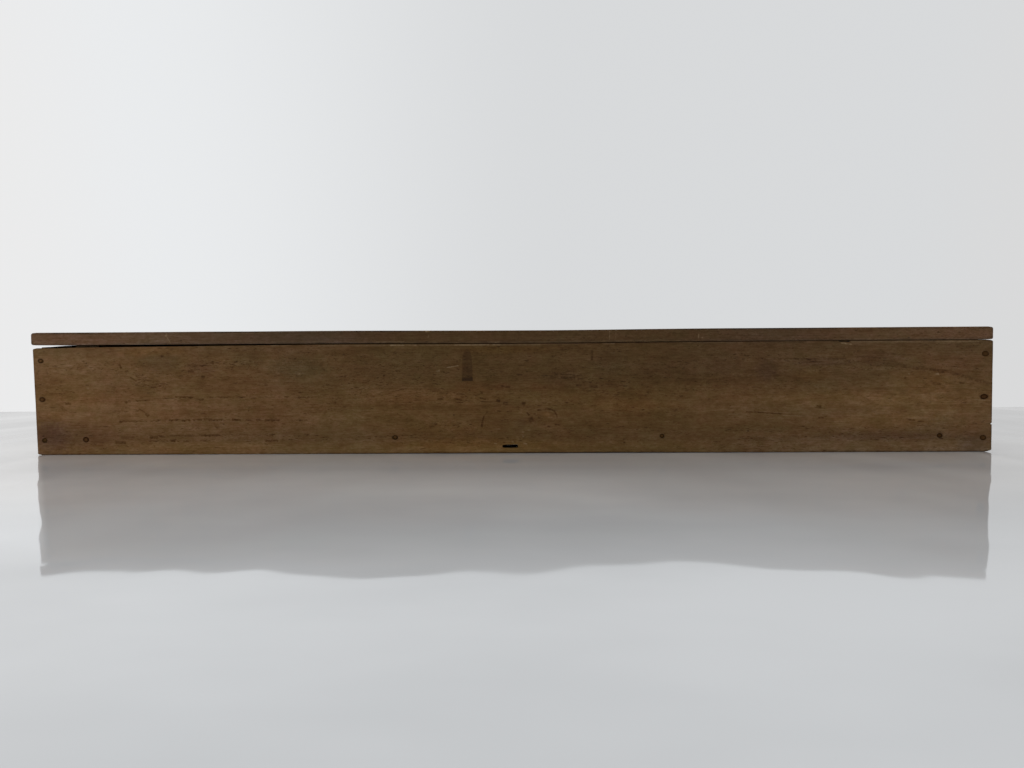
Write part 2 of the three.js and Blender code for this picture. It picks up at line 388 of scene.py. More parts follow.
def wood(name, lo, hi, seed, grain="x", tone=1.0, base=(0.1785, 0.0938, 0.0332), inside=None, marks=None,
         rows=None, pores=1.0, dirt=1.0, wear=1.0, pith=(60.0, -150.0), gap=11.0, lip=False):
    """Aged, handled, unvarnished wood of one board. lo and hi are the board's corners in mm."""
    t = Tree(name)
    co = t.n.new("ShaderNodeTexCoord").outputs["Object"]
    p = t.mad3(co, (1000.0, 1000.0, 1000.0), (0.0, 0.0, 0.0))
    x, y, z = t.split(p)
    u, v, w = {"x": (x, y, z), "y": (y, x, z), "z": (z, x, y)}[grain]
    off = [float(c) for c in np.random.default_rng(seed).uniform(-400, 400, 3)]

    def field(su, sv, sw, k=0.0):
        """grain coordinates: one unit per su, sv, sw millimetres."""
        return t.xyz(
            t.mad(u, 1 / su, off[0] + k), t.mad(v, 1 / sv, off[1] - k), t.mad(w, 1 / sw, off[2] + 2 * k)
        )

    # growth rings: distance from a pith line that wanders along the board
    bend = t.mad(t.noise(field(240, 900, 900), detail=2, rough=0.5), 24.0, -12.0)
    swirl = t.mad(t.noise(field(50, 26, 14, 3.1), detail=3, rough=0.6), 3.0, -1.5)
    dv = t.sub(v, pith[0])
    dw = t.add(t.sub(w, pith[1]), bend)
    radius = t.math("SQRT", t.add(t.mul(dv, dv), t.mul(dw, dw)))
    radius = t.add(radius, swirl)
    warp = t.noise(t.xyz(t.mul(radius, 0.07), 0.3, off[0]), detail=2, rough=0.7)
    ring = t.math("FRACT", t.mad(radius, 1 / gap, t.mul(warp, 2.4)))
    late = t.mul(t.step(ring, 0.62, 0.93), t.step(ring, 1.0, 0.975))
    early = t.mul(t.step(ring, 0.0, 0.03), t.step(ring, 0.20, 0.08))
    ring_gain = t.step(t.noise(field(190, 60, 24, 8.0), detail=2), 0.40, 0.62)
    late = t.mul(late, ring_gain)

    broad = t.noise(field(230, 44, 24), detail=3, rough=0.55)
    streak = t.noise(field(64, 3.2, 2.8), detail=4, rough=0.62, distort=0.15)
    fibre = t.noise(field(17, 0.62, 0.55), detail=3, rough=0.62)
    cloud = t.noise(field(40, 26, 17, 5.0), detail=4, rough=0.6)
    mottle = t.noise(field(8.2, 5.0, 4.2, 7.0), detail=3, rough=0.65)
    grit = t.noise(field(3.1, 1.25, 1.1, 11.0), detail=3, rough=0.7)
    zone = t.step(t.noise(field(90, 22, 8.0, 2.0), detail=3, rough=0.62), 0.46, 0.64)
    ringed = 1.0 if rows is None else 0.4
    zone = t.math("MAXIMUM", t.mul(zone, 0.45), t.mul(early, t.step(ring_gain, 0.2, 0.9, 0.25 * ringed, ringed)))
    if rows is not None:
        zone = t.hi(zone, rows(t, x, y, z))
    pore = t.noise(field(2.2, 0.42, 0.38, 1.0), detail=2, rough=0.55)
    pore = t.step(t.mad(zone, 0.09, pore), 0.625, 0.74)
    vessel = t.noise(field(3.7, 0.95, 0.74, 4.0), detail=3, rough=0.62)
    vessel = t.mad(zone, 0.125, vessel)
    fleck = t.step(vessel, 0.655, 0.735)
    halo = t.mul(t.band(vessel, 0.565, 0.635, 0.02), t.mad(zone, 0.8, 0.2))

    value = t.mad(broad, 0.55, 0.145)
    value = t.add(value, t.mad(streak, 0.36, -0.18))
    value = t.add(value, t.mad(mottle, 0.20, -0.10))
    value = t.add(value, t.mul(late, -0.15))

    # how light the wood is here, from its figure, its fibres and its dirt together
    f = t.mad(value, 0.82, 0.655)
    f = t.mul(f, t.line(fibre, 0.25, 0.75, 0.79, 1.21))
    f = t.mul(f, t.line(cloud, 0.3, 0.7, 1 - 0.15 * dirt, 1 + 0.13 * dirt))
    f = t.mul(f, t.line(mottle, 0.3, 0.7, 0.84, 1.16))
    f = t.mul(f, t.line(grit, 0.3, 0.7, 0.775, 1.225))
    f = t.mul(f, t.mad(halo, 0.14, 1.0))
    f = t.mul(f, t.mad(pore, -0.42 * pores, 1.0))
    f = t.hi(t.mul(f, t.mad(fleck, -0.60 * pores, 1.0)), 0.05)
    # old wood keeps its hue as it darkens: blue falls faster than red
    n = t.n.new("ShaderNodeCombineColor")
    for s_, k, e in zip(n.inputs[:3], base, (0.76, 1.0, 1.75)):
        t.put(s_, t.mul(t.math("POWER", f, e), k))
    colour = n.outputs[0]
    tint = t.noise(field(9.5, 7.5, 6.0, 9.0), detail=4, rough=0.66)
    colour = t.mix(1.0, colour, t.mix(t.step(tint, 0.34, 0.66), (1.022, 0.985, 1.02), (0.978, 1.015, 0.97)), "MULTIPLY")
    tint2 = t.noise(field(44, 30, 22, 6.0), detail=3, rough=0.6)
    colour = t.mix(1.0, colour, t.mix(t.step(tint2, 0.34, 0.66), (1.03, 0.98, 0.99), (0.975, 1.015, 1.0)), "MULTIPLY")

    # arris distance: the second smallest distance to the board's faces
    c = [(a + b) / 2 for a, b in zip(lo, hi)]
    h = [(b - a) / 2 for a, b in zip(lo, hi)]
    ax, ay, az = (
        t.sub(h[i], t.math("ABSOLUTE", t.sub(s, c[i]))) for i, s in enumerate((x, y, z))
    )
    edge = t.hi(t.lo(ax, ay), t.lo(t.hi(ax, ay), az))

    rim_noise = t.noise(t.mad3(p, (0.11, 0.35, 0.35), (off[2], off[1], off[0])), detail=5, rough=0.68)
    # grime gathers along the arrises, bare wood shows where they are knocked
    darkened = t.mul(t.step(edge, 2.2, 0.3), t.step(rim_noise, 0.38, 0.60))
    colour = t.mix(t.mul(darkened, 0.36 * dirt), colour, (0.028, 0.012, 0.0035))
    bare = t.mul(
        t.step(edge, 0.95, 0.25),
        t.step(t.noise(t.mad3(p, (0.17, 0.6, 0.6), (off[0], off[2], off[1])), detail=4, rough=0.7), 0.56, 0.66),
    )
    colour = t.mix(t.mul(bare, 0.55 * wear), colour, (0.36, 0.245, 0.135))

    # specks of dirt and small scratches
    d, cc = t.cells(t.mad3(p, (0.10, 0.10, 0.10), (off[1], off[0], off[2])))
    pick = t.step(t.split(cc)[0], 0.80, 0.82)
    speck = t.mul(t.step(d, 0.085, 0.03), pick)
    colour = t.mix(t.mul(speck, 0.55 * dirt), colour, (0.026, 0.011, 0.003))
    sc = t.noise(t.mad3(p, (0.05, 0.9, 1.1), (off[2], off[0], off[1])), detail=3, rough=0.5, distort=0.9)
    scratch = t.mul(t.step(t.math("ABSOLUTE", t.sub(sc, 0.5)), 0.006, 0.0), t.step(cloud, 0.52, 0.6))
    colour = t.mix(t.mul(scratch, 0.14 * wear), colour, (0.42, 0.30, 0.18))

    # end grain is darker and drinks the dirt
    nrm = t.split(t.n.new("ShaderNodeNewGeometry").outputs["Normal"])
    facing = t.math("ABSOLUTE", nrm[{"x": 0, "y": 1, "z": 2}[grain]])
    end = t.step(facing, 0.6, 0.9)
    colour = t.mix(end, colour, t.shade(colour, 0.66))

    rough = t.line(streak, 0.3, 0.7, 0.62, 0.47)
    rough = t.add(rough, t.mul(pore, 0.2))
    rough = t.add(rough, t.mul(end, 0.15))

    if inside is not None:
        mask = inside(t, x, y, z)
        clean = t.mix(t.math("ADD", value, 0.05, clamp=True), (0.27, 0.175, 0.088), (0.50, 0.37, 0.215))
        clean = t.shade(clean, t.line(fibre, 0.25, 0.75, 0.88, 1.11))
        clean = t.shade(clean, t.line(cloud, 0.3, 0.7, 0.86, 1.06))
        clean = t.shade(clean, t.line(grit, 0.3, 0.7, 0.90, 1.10))
        clean = t.mix(t.mul(pore, 0.4), clean, (0.13, 0.075, 0.035))
        clean = t.mix(t.mul(fleck, 0.3), clean, (0.15, 0.085, 0.040))
        clean = t.mix(t.mul(darkened, 0.25), clean, (0.10, 0.06, 0.03))
        if lip:
            # painted shade and dirt: the wood is blackened along the joint under the lid, so the narrow gap there reads
            # dark
            clean = t.mix(t.step(t.mad(rim_noise, 1.6, z), 69.6, 71.4, 0.0, 0.93), clean, (0.016, 0.009, 0.005))
        colour = t.mix(mask, colour, clean)
        rough = t.add(rough, t.mul(mask, 0.12))
    if tone != 1.0:
        colour = t.shade(colour, tone)
    if marks is not None:
        colour, rough = marks(t, x, y, z, p, colour, rough)

    height = t.mul(streak, 0.45)
    height = t.add(height, t.mul(fibre, 0.35))
    height = t.sub(height, t.mul(pore, 0.7))
    height = t.sub(height, t.mul(fleck, 0.9))
    height = t.sub(height, t.mul(late, -0.25))
    height = t.sub(height, t.mul(scratch, 0.2))
    height = t.add(height, t.mul(mottle, 0.25))
    height = t.add(height, t.mul(grit, 0.25))
    return t.finish(colour, rough, height, 0.14, 0.85, sheen=0.28)


# -------------------------------------------------------------- measurements
def node_box(name):
    a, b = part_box(name)
    return np.array(a) / MM, np.array(b) / MM


pegs = {}  # name: head centre, inward direction, length
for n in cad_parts:
    if "peg" not in n:
        continue
    lo, hi = node_box(n)
    c = (lo + hi) / 2
    if "corner" in n or n.startswith(("front_bottom", "back_bottom")):
        s = -1 if n.startswith("front") else 1
        head = np.array([c[0], lo[1] if s < 0 else hi[1], c[2]])
        pegs[n] = (head, np.array([0, -s, 0.0]), hi[1] - lo[1])
    elif "end_bottom" in n:
        left = n.startswith("left")
        head = np.array([lo[0] if left else hi[0], c[1], c[2]])
        pegs[n] = (head, np.array([1.0 if left else -1.0, 0, 0]), hi[0] - lo[0])
    else:
        pegs[n] = (np.array([c[0], c[1], hi[2]]), np.array([0, 0, -1.0]), hi[2] - lo[2])

# How each head looks: half height, oval (width over height), sunk depth (mm), tone of its heart 0 dark .. 1 light,
# strength of its dark rim, which is partly painted shade of the crevice round the head, redness of the rim.
LOOK = {
    "front_left_corner_peg_top": (1.38, 1.30, 0.08, 0.95, 0.76, 0.3),
    "front_left_corner_peg_middle": (1.47, 1.34, 0.08, 0.66, 0.72, 1.0),
    "front_left_corner_peg_low": (1.56, 1.08, 0.04, 0.40, 0.50, 0.0),
    "front_bottom_peg_1": (1.74, 1.06, 0.08, 0.58, 0.84, 1.0),
    "front_bottom_peg_2": (1.42, 1.20, 0.08, 0.55, 0.85, 0.1),
    "front_bottom_peg_3": (1.30, 1.12, 0.10, 0.46, 0.74, 0.2),
    "front_bottom_peg_4": (1.47, 1.10, 0.12, 0.28, 0.88, 0.6),
    "front_right_corner_peg_top": (1.66, 1.40, 0.03, 0.36, 0.30, 0.4),
    "front_right_corner_peg_middle": (1.56, 1.60, 0.14, 0.30, 0.84, 0.9),
    "front_right_corner_peg_low": (1.58, 1.30, 0.08, 0.44, 0.58, 0.4),
}
look = {}
for i, n in enumerate(sorted(pegs)):
    g = np.random.default_rng(900 + i)
    look[n] = LOOK.get(
        n,
        (g.uniform(1.30, 1.55), g.uniform(1.0, 1.35), g.uniform(0.04, 0.2), g.uniform(0.2, 0.95), g.uniform(0.4, 0.9), g.uniform(0, 1)),
    )

# -------------------------------------------------------------- peg cutters
cutter_pts, cutter_faces, k = [], [], 0
for i, (n, (head, d, length)) in enumerate(sorted(pegs.items())):
    pts, faces = rod_mesh(
        head - d * 1.0, d, length + 0.9, look[n][0] + 0.09, 1.35, 40 + i, segments=32, proud=0, dome=0.0, wobble=0.035,
        oval=look[n][1],
    )
    cutter_pts.append(pts)
    cutter_faces += [[j + k for j in f] for f in faces]
    k += len(pts)
holes = outward(mesh_object("cutter", np.concatenate(cutter_pts), cutter_faces))


def nick(cx, cy, cz, sx, sy, sz, seed):
    """A small torn hollow: a bumpy ball used as a cutter."""
    import bmesh

    bm = bmesh.new()
    bmesh.ops.create_icosphere(bm, subdivisions=2, radius=1.0)
    g = np.random.default_rng(seed)
    for vert in bm.verts:
        f = 1 + g.uniform(-0.22, 0.22)
        vert.co = Vector((cx + vert.co.x * sx * f, cy + vert.co.y * sy * f, cz + vert.co.z * sz * f)) * MM
    me = bpy.data.meshes.new("nick")
    bm.to_mesh(me)
    bm.free()
    ob = bpy.data.objects.new("nick", me)
    bpy.context.scene.collection.objects.link(ob)
    return ob


def profile(table):
    d = np.array([a for a, b in table])
    v = np.array([b for a, b in table])
    return lambda s: np.interp(s, d, v)


LEFT_WEAR = profile([(0, 2.5), (1, 2.0), (3, 1.65), (6, 1.7), (9, 1.8), (16, 1.8), (26, 1.5), (35, 1.4), (48, 1.3), (68, 1.2), (107, 0.9), (173, 0.52), (238, 0.2), (300, 0)])
RIGHT_WEAR = profile([(0, 1.0), (0.8, 0.5), (2.5, 0.22), (5, 0.0)])
BACK_WEAR = profile([(0, 1.2), (0.8, 0.6), (3, 0.2), (8, 0)])
BACK_RIGHT = profile([(0, 0.6), (0.8, 0.3), (3, 0.0)])
# the lower corners are knocked too
LOW_LEFT = profile([(0, 0.9), (0.6, 0.4), (1.5, 0.1), (2.5, 0)])
LOW_RIGHT = profile([(0, 1.3), (0.8, 0.85), (2.2, 0.4), (4.5, 0)])
# top edge of the left end board across the box: y, drop
END_DROP_Y = [-31.4, -27.0, -21.0, -14.5, -8.0, 0.0, 6.0]
END_DROP = [1.3, 1.13, 0.92, 0.60, 0.30, 0.08, 0.0]
SLOT_X, SLOT_FRONT, SLOT_BACK = 2.2, 4.75, 2.6


def sag(x):
    """The box and its lid have sunk a little in the middle of their length."""
    return 0.5 * np.cos(np.clip((x - 15.0) / 135.0, -1, 1) * np.pi / 2) ** 2


def hollow(x):
    """The rim it stands on is planed slightly hollow."""
    return 0.32 * np.cos(np.clip((x - 35.0) / 150.0, -1, 1) * np.pi / 2) ** 2


def make_side(name, seed, left, right, nicks):
    lo, hi = node_box(name)
    pts, faces = board_points(lo, hi, (2.0, 3.0, 2.5), 0.75, 0.28, seed)
    top = smooth(hi[2] - 14, hi[2] - 1.5, pts[:, 2])
    drop = left(pts[:, 0] - lo[0]) + right(hi[0] - pts[:, 0])
    foot = smooth(9.0, 0.8, pts[:, 2] - lo[2])
    rise = LOW_LEFT(pts[:, 0] - lo[0]) + LOW_RIGHT(hi[0] - pts[:, 0])
    pts[:, 2] += rise * foot - drop * top
    pts[:, 2] += hollow(pts[:, 0]) * foot - sag(pts[:, 0]) * top
    if name.startswith("front"):
        # its ends are not sawn quite square
        up = np.clip(pts[:, 2] / hi[2], 0, 1)
        pts[:, 0] += np.clip((-285.0 - pts[:, 0]) / 24.0, 0, 1) * 1.05 * (1 - up)
        pts[:, 0] -= np.clip((pts[:, 0] - 285.0) / 24.0, 0, 1) * 0.5 * up
        pts[:, 2] += 0.1 * top * smooth(288.0, 300.0, pts[:, 0])
    # hand-planed faces and edges are never quite straight
    mid = 1 - np.abs(pts[:, 1] - (lo[1] + hi[1]) / 2) / ((hi[1] - lo[1]) / 2)
    pts[:, 2] += top * ((0.01 if name.startswith("back") else 0.05) * (lattice_noise(pts * [1, 0.2, 0.2], 0.045, seed + 1) - 1) + (0.12 if name.startswith("back") else 0.0))
    out = 1 if name.startswith("back") else -1
    face = out * (pts[:, 1] - (lo[1] + hi[1]) / 2) > 0
    pts[:, 1] -= out * 0.06 * (1 + lattice_noise(pts, 0.02, seed + 2)) * face
    ob = mesh_object(name + "_wood", pts, faces)
    cut(ob, holes)
    # cord slot: a knife-cut mortise with slightly uneven walls
    sx, sz = SLOT_X, (SLOT_BACK if name.startswith("back") else SLOT_FRONT)
    n = 40
    outline = []
    for a in np.linspace(0, 2 * np.pi, n, endpoint=False):
        ca, sa = math.cos(a), math.sin(a)
        px = 5.05 * np.sign(ca) * abs(ca) ** 0.28
        pz = 1.02 * np.sign(sa) * abs(sa) ** 0.35
        wob = 0.06 * math.sin(3 * a + seed) + 0.04 * math.sin(7 * a + 2 * seed)
        if ca > 0.78:
            wob += 0.14 * sa
        outline.append((sx + px * (1 + 0.1 * wob), sz + pz + wob))
    y0, y1 = lo[1] - 1, hi[1] + 1
    cp = [(px, y0, pz) for px, pz in outline] + [(px, y1, pz) for px, pz in outline]
    cf = [[i, (i + 1) % n, n + (i + 1) % n, n + i] for i in range(n)]
    cf += [list(range(n))[::-1], list(range(n, 2 * n))]
    slot = outward(mesh_object("slot_cutter", cp, cf))
    cut(ob, slot)
    remove(slot)
    for j, (cx, cz, ax, ay, az) in enumerate(nicks):
        b = nick(cx, lo[1] if out < 0 else hi[1], cz, ax, ay, az, seed * 10 + j)
        cut(ob, b)
        remove(b)
    return shade(ob)


def make_board(name, seed, step=(3.0, 3.0, 3.0), rmax=0.6, rmin=0.2, holes_too=True):
    lo, hi = node_box(name)
    pts, faces = board_points(lo, hi, step, rmax, rmin, seed)
    if name.endswith("end_board"):
        # planed to meet the lid, and on the left worn down with the front corner
        top = smooth(hi[2] - 14, hi[2] - 1.5, pts[:, 2])
        pts[:, 2] += 0.1 * top
        if name.startswith("left"):
            pts[:, 2] -= top * np.interp(pts[:, 1], END_DROP_Y, END_DROP)
    ob = mesh_object(name + "_wood", pts, faces)
    if holes_too:
        cut(ob, holes)
    return shade(ob)


def place(ob, node, body, mat):
    ob.data.materials.clear()
    ob.data.materials.append(mat)
    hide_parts(node)
    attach(ob, body)
    return ob


# ------------------------------------------------------------------- marks
class Marks:
    """Features placed on one face of a board, by millimetres a along it and b up it.
    They are laid on the board's finished colour one after another."""

    def __init__(self, t, a, b, face, colour, n1, n2, ragged=0.35):
        self.t, self.face, self.base, self.colour = t, face, colour, colour
        n = t.n.new("ShaderNodeSeparateColor")
        t.put(n.inputs[0], colour)
        last = t.mul(n.outputs[0], 1e-6)
        self.a, self.b = t.add(a, last), t.add(b, last)
        self.v = t.xyz(self.a, self.b, 1.0)
        # ragged copies of the coordinates, so that no mark has a ruled edge
        self.r = t.xyz(t.add(t.mad(n2, ragged, -ragged / 2), self.a), t.add(t.mad(n2, ragged, -ragged / 2), self.b), 1.0)
        self.w = t.xyz(self.a, t.add(t.mad(n1, 3.0, -1.5), self.b), 1.0)
        self.fade = t.line(n1, 0.35, 0.6, 0.35, 1.0)
        self.blot = t.mad(n1, 1.2, -0.6)
        self.n1, self.n2 = n1, n2

    def lay(self, mask, tint, kind="MIX"):
        self.colour = self.t.mix(mask, self.colour, tint, kind)

    def dash(self, a0, b0, a1, b1, half, strength, tint):
        m = self.t.stroke(self.r, a0, b0, a1, b1, half, half * 0.35, 0.4, strength)
        self.lay(self.t.mul(m, self.fade), tint)

    def strokes(self, rows, wavy=False, soft=0.6):
        """Many brown strokes laid as one; they let the wood show through."""
        t, out = self.t, None
        for a0, b0, a1, b1, half, strength in rows:
            m = t.stroke(self.w if wavy else self.r, a0, b0, a1, b1, half * 1.3, half * 0.45, soft, strength)
            out = m if out is None else t.hi(out, m)
        self.lay(t.mul(out, self.fade), STAIN, "MULTIPLY")

    def cloud(self, a0, b0, ra, rb, strength, tint):
        """A soft patch that multiplies the colour by tint."""
        t = self.t
        r = t.length(t.mad3(self.v, (1 / ra, 1 / rb, 0.0), (-a0 / ra, -b0 / rb, 0.0)))
        self.lay(t.step(t.add(r, self.blot), 1.12, 0.34, 0.0, strength), tint, "MULTIPLY")

    def arc(self, a0, b0, ra, rb, t0, t1, width, strength, tint):
        t = self.t
        v = t.mad3(self.v, (1 / ra, 1 / rb, 0.0), (-a0 / ra, -b0 / rb, 0.0))
        r = t.math("ABSOLUTE", t.add(t.length(v), t.mad(self.n1, 0.10, -1.05)))
        x, y, _ = t.split(v)
        angle = t.math("ABSOLUTE", t.sub(t.math("ARCTAN2", y, x), (t0 + t1) / 2))
        m = t.mul(t.step(r, 2 * width, 0.0, 0.0, strength), t.step(angle, (t1 - t0) / 2 + 0.15, (t1 - t0) / 2 - 0.15))
        self.lay(t.mul(m, t.line(self.n2, 0.35, 0.65, 0.2, 1.0)), tint)

    def rims(self, prefix, i, j, tint=(0.030, 0.012, 0.0024)):
        """Painted shade of the crevice around the peg heads whose names start with prefix, with the wood pressed dark
        there too.
        """
        t, out = self.t, None
        fuzz = t.mad(self.n2, 0.7, -0.35)
        for n, (head, d, length) in sorted(pegs.items()):
            if not n.startswith(prefix):
                continue
            rz, oval, sunk, heart, rim, red = look[n]
            r = t.length(t.mad3(self.v, (1 / oval, 1.0, 0.0), (-float(head[i]) / oval, -float(head[j]), 0.0)))
            q = t.step(t.add(r, fuzz), rz + 0.62, rz - 0.05, 0.0, 0.62 * rim)
            out = q if out is None else t.hi(out, q)
        self.lay(out, tint)

    def done(self):
        return self.t.mix(self.face, self.base, self.colour)


PALE = (0.34, 0.235, 0.130)
DARK = (0.026, 0.0105, 0.0022)
STAIN = (0.40, 0.28, 0.0)

# rows of opened vessels on the seen face: x0, z0, x1, z1, half width, strength
VESSEL_ROWS = [
    (-250.0, 34.6, -234.0, 35.9, 1.1, 0.5),
    (-230.0, 36.8, -120.0, 37.4, 0.9, 0.6),
    (-253.0, 22.1, -146.0, 22.6, 1.0, 0.6),
    (-236.0, 12.2, -120.0, 12.6, 0.9, 0.6),
    (-234.0, 9.0, -98.0, 10.2, 1.0, 0.65),
    (-100.0, 10.4, -52.0, 12.0, 1.6, 0.6),
    (-88.0, 36.6, -18.0, 35.8, 2.0, 0.45),
    (-36.0, 36.2, -20.0, 33.6, 0.9, 0.8),
    (-246.0, 52.0, -222.0, 44.0, 4.5, 0.75),
    (-292.0, 58.0, -240.0, 57.0, 5.0, 0.45),
    (-214.0, 57.5, -160.0, 60.0, 4.0, 0.6),
    (-66.0, 20.0, -20.0, 17.0, 4.0, 0.6),
    (20.0, 52.0, 86.0, 44.0, 3.0, 0.6),
    (128.0, 62.0, 214.0, 60.5, 3.0, 0.45),
    (214.0, 58.5, 262.0, 54.5, 2.4, 0.45),
    (150.0, 9.0, 296.0, 9.6, 2.4, 0.55),
    (140.0, 15.0, 200.0, 15.0, 2.0, 0.5),
]


# short brown strokes on the seen face, where vessels are torn open: x0, z0, x1, z1, half width, strength
TORN = [
    (-252.9, 59.6, -251.5, 56.4, 0.80, 1.0),
    (-245.9, 50.8, -241.8, 48.3, 0.60, 0.9),
    (-242.8, 52.2, -240.0, 50.4, 0.45, 0.6),
    (-199.2, 50.9, -196.6, 50.8, 0.95, 0.95),
    (-193.0, 60.2, -190.6, 60.0, 0.75, 0.8),
    (-208.0, 58.6, -202.0, 58.0, 1.00, 0.6),
    (-208.0, 55.0, -204.0, 54.6, 1.00, 0.7),
    (-225.4, 64.6, -223.6, 64.4, 0.85, 0.9),
    (-157.6, 45.5, -155.6, 45.4, 0.75, 0.7),
    (-289.4, 33.7, -285.8, 33.6, 0.80, 0.9),
    (-295.8, 33.7, -290.0, 33.7, 0.35, 0.45),
    (-275.2, 45.9, -273.2, 45.8, 0.50, 0.6),
    (-236.2, 27.4, -234.4, 25.2, 1.20, 1.0),
    (-240.6, 30.2, -236.4, 27.6, 0.50, 0.75),
    (-257.0, 8.2, -250.0, 8.0, 1.10, 0.8),
    (-253.0, 11.3, -244.0, 11.3, 0.90, 0.7),
    (-32.4, 38.9, -28.4, 38.8, 0.60, 0.8),
    (-33.4, 35.6, -27.6, 34.6, 0.60, 0.9),
    (-33.0, 33.5, -28.0, 33.3, 0.45, 0.7),
    (-45.0, 35.7, -41.0, 35.7, 0.60, 0.9),
    (-17.4, 36.4, -13.2, 35.2, 0.60, 0.9),
    (-17.0, 33.9, -9.0, 33.6, 0.45, 0.8),
    (-3.4, 43.8, 2.6, 43.2, 0.80, 0.8),
    (-2.4, 45.7, 0.0, 45.2, 0.50, 0.5),
    (6.6, 51.2, 10.4, 51.0, 0.65, 0.7),
    (-4.2, 53.5, -2.0, 53.2, 0.60, 0.5),
    (34.8, 51.3, 44.2, 50.8, 0.55, 0.7),
    (35.0, 49.3, 44.4, 49.1, 0.75, 0.9),
    (38.8, 53.4, 44.0, 53.0, 0.55, 0.7),
    (45.0, 44.2, 48.4, 44.0, 0.85, 0.8),
    (53.4, 43.4, 58.8, 43.2, 0.85, 0.7),
    (255.0, 47.9, 256.8, 47.5, 0.85, 0.8),
    (273.0, 44.2, 278.6, 43.6, 0.95, 0.75),
    (290.0, 44.4, 293.4, 44.2, 0.55, 0.75),
]
TORN_ROWS = [
    (-250.2, 34.7, -246.2, 34.7, 0.70, 0.85),
    (-243.0, 35.5, -233.4, 35.9, 0.55, 1.0),
    (-228.0, 36.6, -217.5, 37.2, 0.35, 0.5),
    (-216.8, 37.9, -204.6, 37.6, 0.65, 1.0),
    (-202.6, 36.8, -197.6, 36.1, 0.75, 0.95),
    (-190.0, 37.6, -181.8, 37.5, 0.50, 0.8),
    (-176.0, 37.7, -169.4, 37.6, 0.50, 0.7),
    (-160.0, 37.5, -150.0, 37.4, 0.40, 0.5),
    (-136.0, 37.2, -128.0, 37.1, 0.50, 0.7),
    (-253.8, 21.9, -250.0, 21.9, 0.75, 1.0),
    (-250.0, 22.0, -236.0, 22.1, 0.35, 0.75),
    (-233.8, 22.0, -227.4, 22.4, 0.55, 0.85),
    (-221.0, 22.9, -214.4, 22.7, 0.60, 0.95),
    (-212.6, 22.5, -207.2, 22.9, 0.80, 1.0),
    (-205.6, 22.8, -199.2, 22.8, 0.60, 0.95),
    (-198.2, 23.0, -192.6, 22.8, 0.90, 1.0),
    (-191.6, 22.7, -185.4, 22.9, 0.60, 0.95),
    (-179.6, 23.0, -173.6, 22.6, 0.90, 1.0),
    (-163.8, 22.2, -159.6, 22.1, 0.50, 0.7),
    (-158.0, 22.4, -148.4, 22.2, 0.70, 0.95),
    (-136.0, 22.3, -130.0, 22.2, 0.50, 0.6),
    (-234.2, 11.5, -228.6, 11.4, 1.00, 0.9),
    (-228.0, 12.4, -225.0, 12.4, 0.70, 0.95),
    (-221.0, 12.6, -204.0, 12.3, 0.38, 0.8),
    (-201.6, 12.7, -187.4, 12.7, 0.65, 0.95),
    (-186.4, 13.0, -169.2, 12.9, 0.32, 0.7),
    (-155.2, 12.8, -152.4, 12.7, 0.70, 0.9),
    (-234.0, 9.05, -228.0, 9.0, 0.45, 0.7),
    (-220.8, 9.1, -217.2, 9.0, 0.85, 1.0),
    (-212.0, 9.1, -207.0, 9.1, 0.50, 0.7),
    (-201.0, 9.1, -194.0, 9.1, 0.50, 0.8),
    (-158.6, 9.0, -149.4, 9.1, 0.60, 0.9),
    (173.0, 60.4, 186.0, 60.8, 0.60, 0.45),
    (184.0, 60.6, 199.0, 60.1, 0.80, 0.60),
    (203.0, 60.6, 218.0, 60.3, 0.60, 0.50),
    (189.0, 58.0, 204.0, 58.4, 0.60, 0.45),
    (196.0, 56.4, 216.0, 56.9, 0.60, 0.50),
    (226.0, 61.6, 244.0, 60.6, 0.60, 0.50),
    (240.0, 63.8, 262.0, 62.4, 0.60, 0.40),
]
# faint strokes and arcs above the slot, and the smudges about them
STROKES = [
    (-16.2, 17.2, -15.7, 20.6, 0.85, 1.0),
    (-15.7, 20.6, -14.8, 24.4, 0.55, 1.0),
    (-14.8, 24.4, -12.4, 27.2, 0.42, 0.8),
    (-6.4, 27.7, -3.4, 27.6, 0.55, 0.8),
    (0.0, 27.3, 3.4, 27.5, 0.50, 0.7),
    (-1.8, 22.0, 1.2, 21.9, 0.50, 0.7),
    (-6.7, 34.5, -4.2, 34.1, 1.05, 1.0),
    (-2.2, 32.9, 0.9, 32.2, 0.90, 0.75),
    (9.6, 32.8, 12.2, 32.0, 1.60, 0.85),
    (13.0, 26.7, 14.8, 24.6, 0.60, 1.0),
    (15.3, 23.6, 16.3, 20.4, 1.60, 0.9),
    (17.4, 25.9, 18.8, 25.7, 0.70, 0.8),
    (20.2, 23.4, 21.8, 23.1, 0.60, 0.7),
    (19.6, 28.0, 22.6, 28.2, 0.75, 0.85),
    (22.6, 28.2, 26.0, 28.8, 0.45, 0.7),
    (26.0, 28.8, 28.9, 28.8, 0.85, 1.0),
    (28.9, 28.7, 31.4, 27.0, 0.60, 1.0),
    (31.4, 27.0, 32.6, 24.6, 0.65, 0.9),
    (32.6, 24.6, 32.6, 22.4, 0.45, 0.75),
    (31.0, 18.6, 34.2, 18.6, 0.60, 0.8),
    (26.0, 17.6, 28.2, 17.2, 0.70, 0.6),
    (55.3, 66.8, 55.3, 60.2, 0.85, 0.8),
    (199.5, 29.8, 202.5, 29.8, 1.10, 1.0),
    (198.6, 28.9, 203.6, 28.6, 0.40, 0.6),
    (154.4, 26.5, 166.0, 25.9, 0.50, 1.0),
    (166.0, 25.8, 177.8, 24.9, 0.48, 0.9),
    (177.8, 24.8, 192.0, 24.1, 0.32, 0.5),
    (192.0, 24.1, 252.0, 21.4, 0.28, 0.30),
    (200.4, 22.5, 204.2, 22.3, 0.55, 0.8),
    (258.2, 20.9, 262.6, 20.5, 0.65, 0.9),
    (264.0, 20.0, 268.2, 19.6, 0.55, 0.75),
]
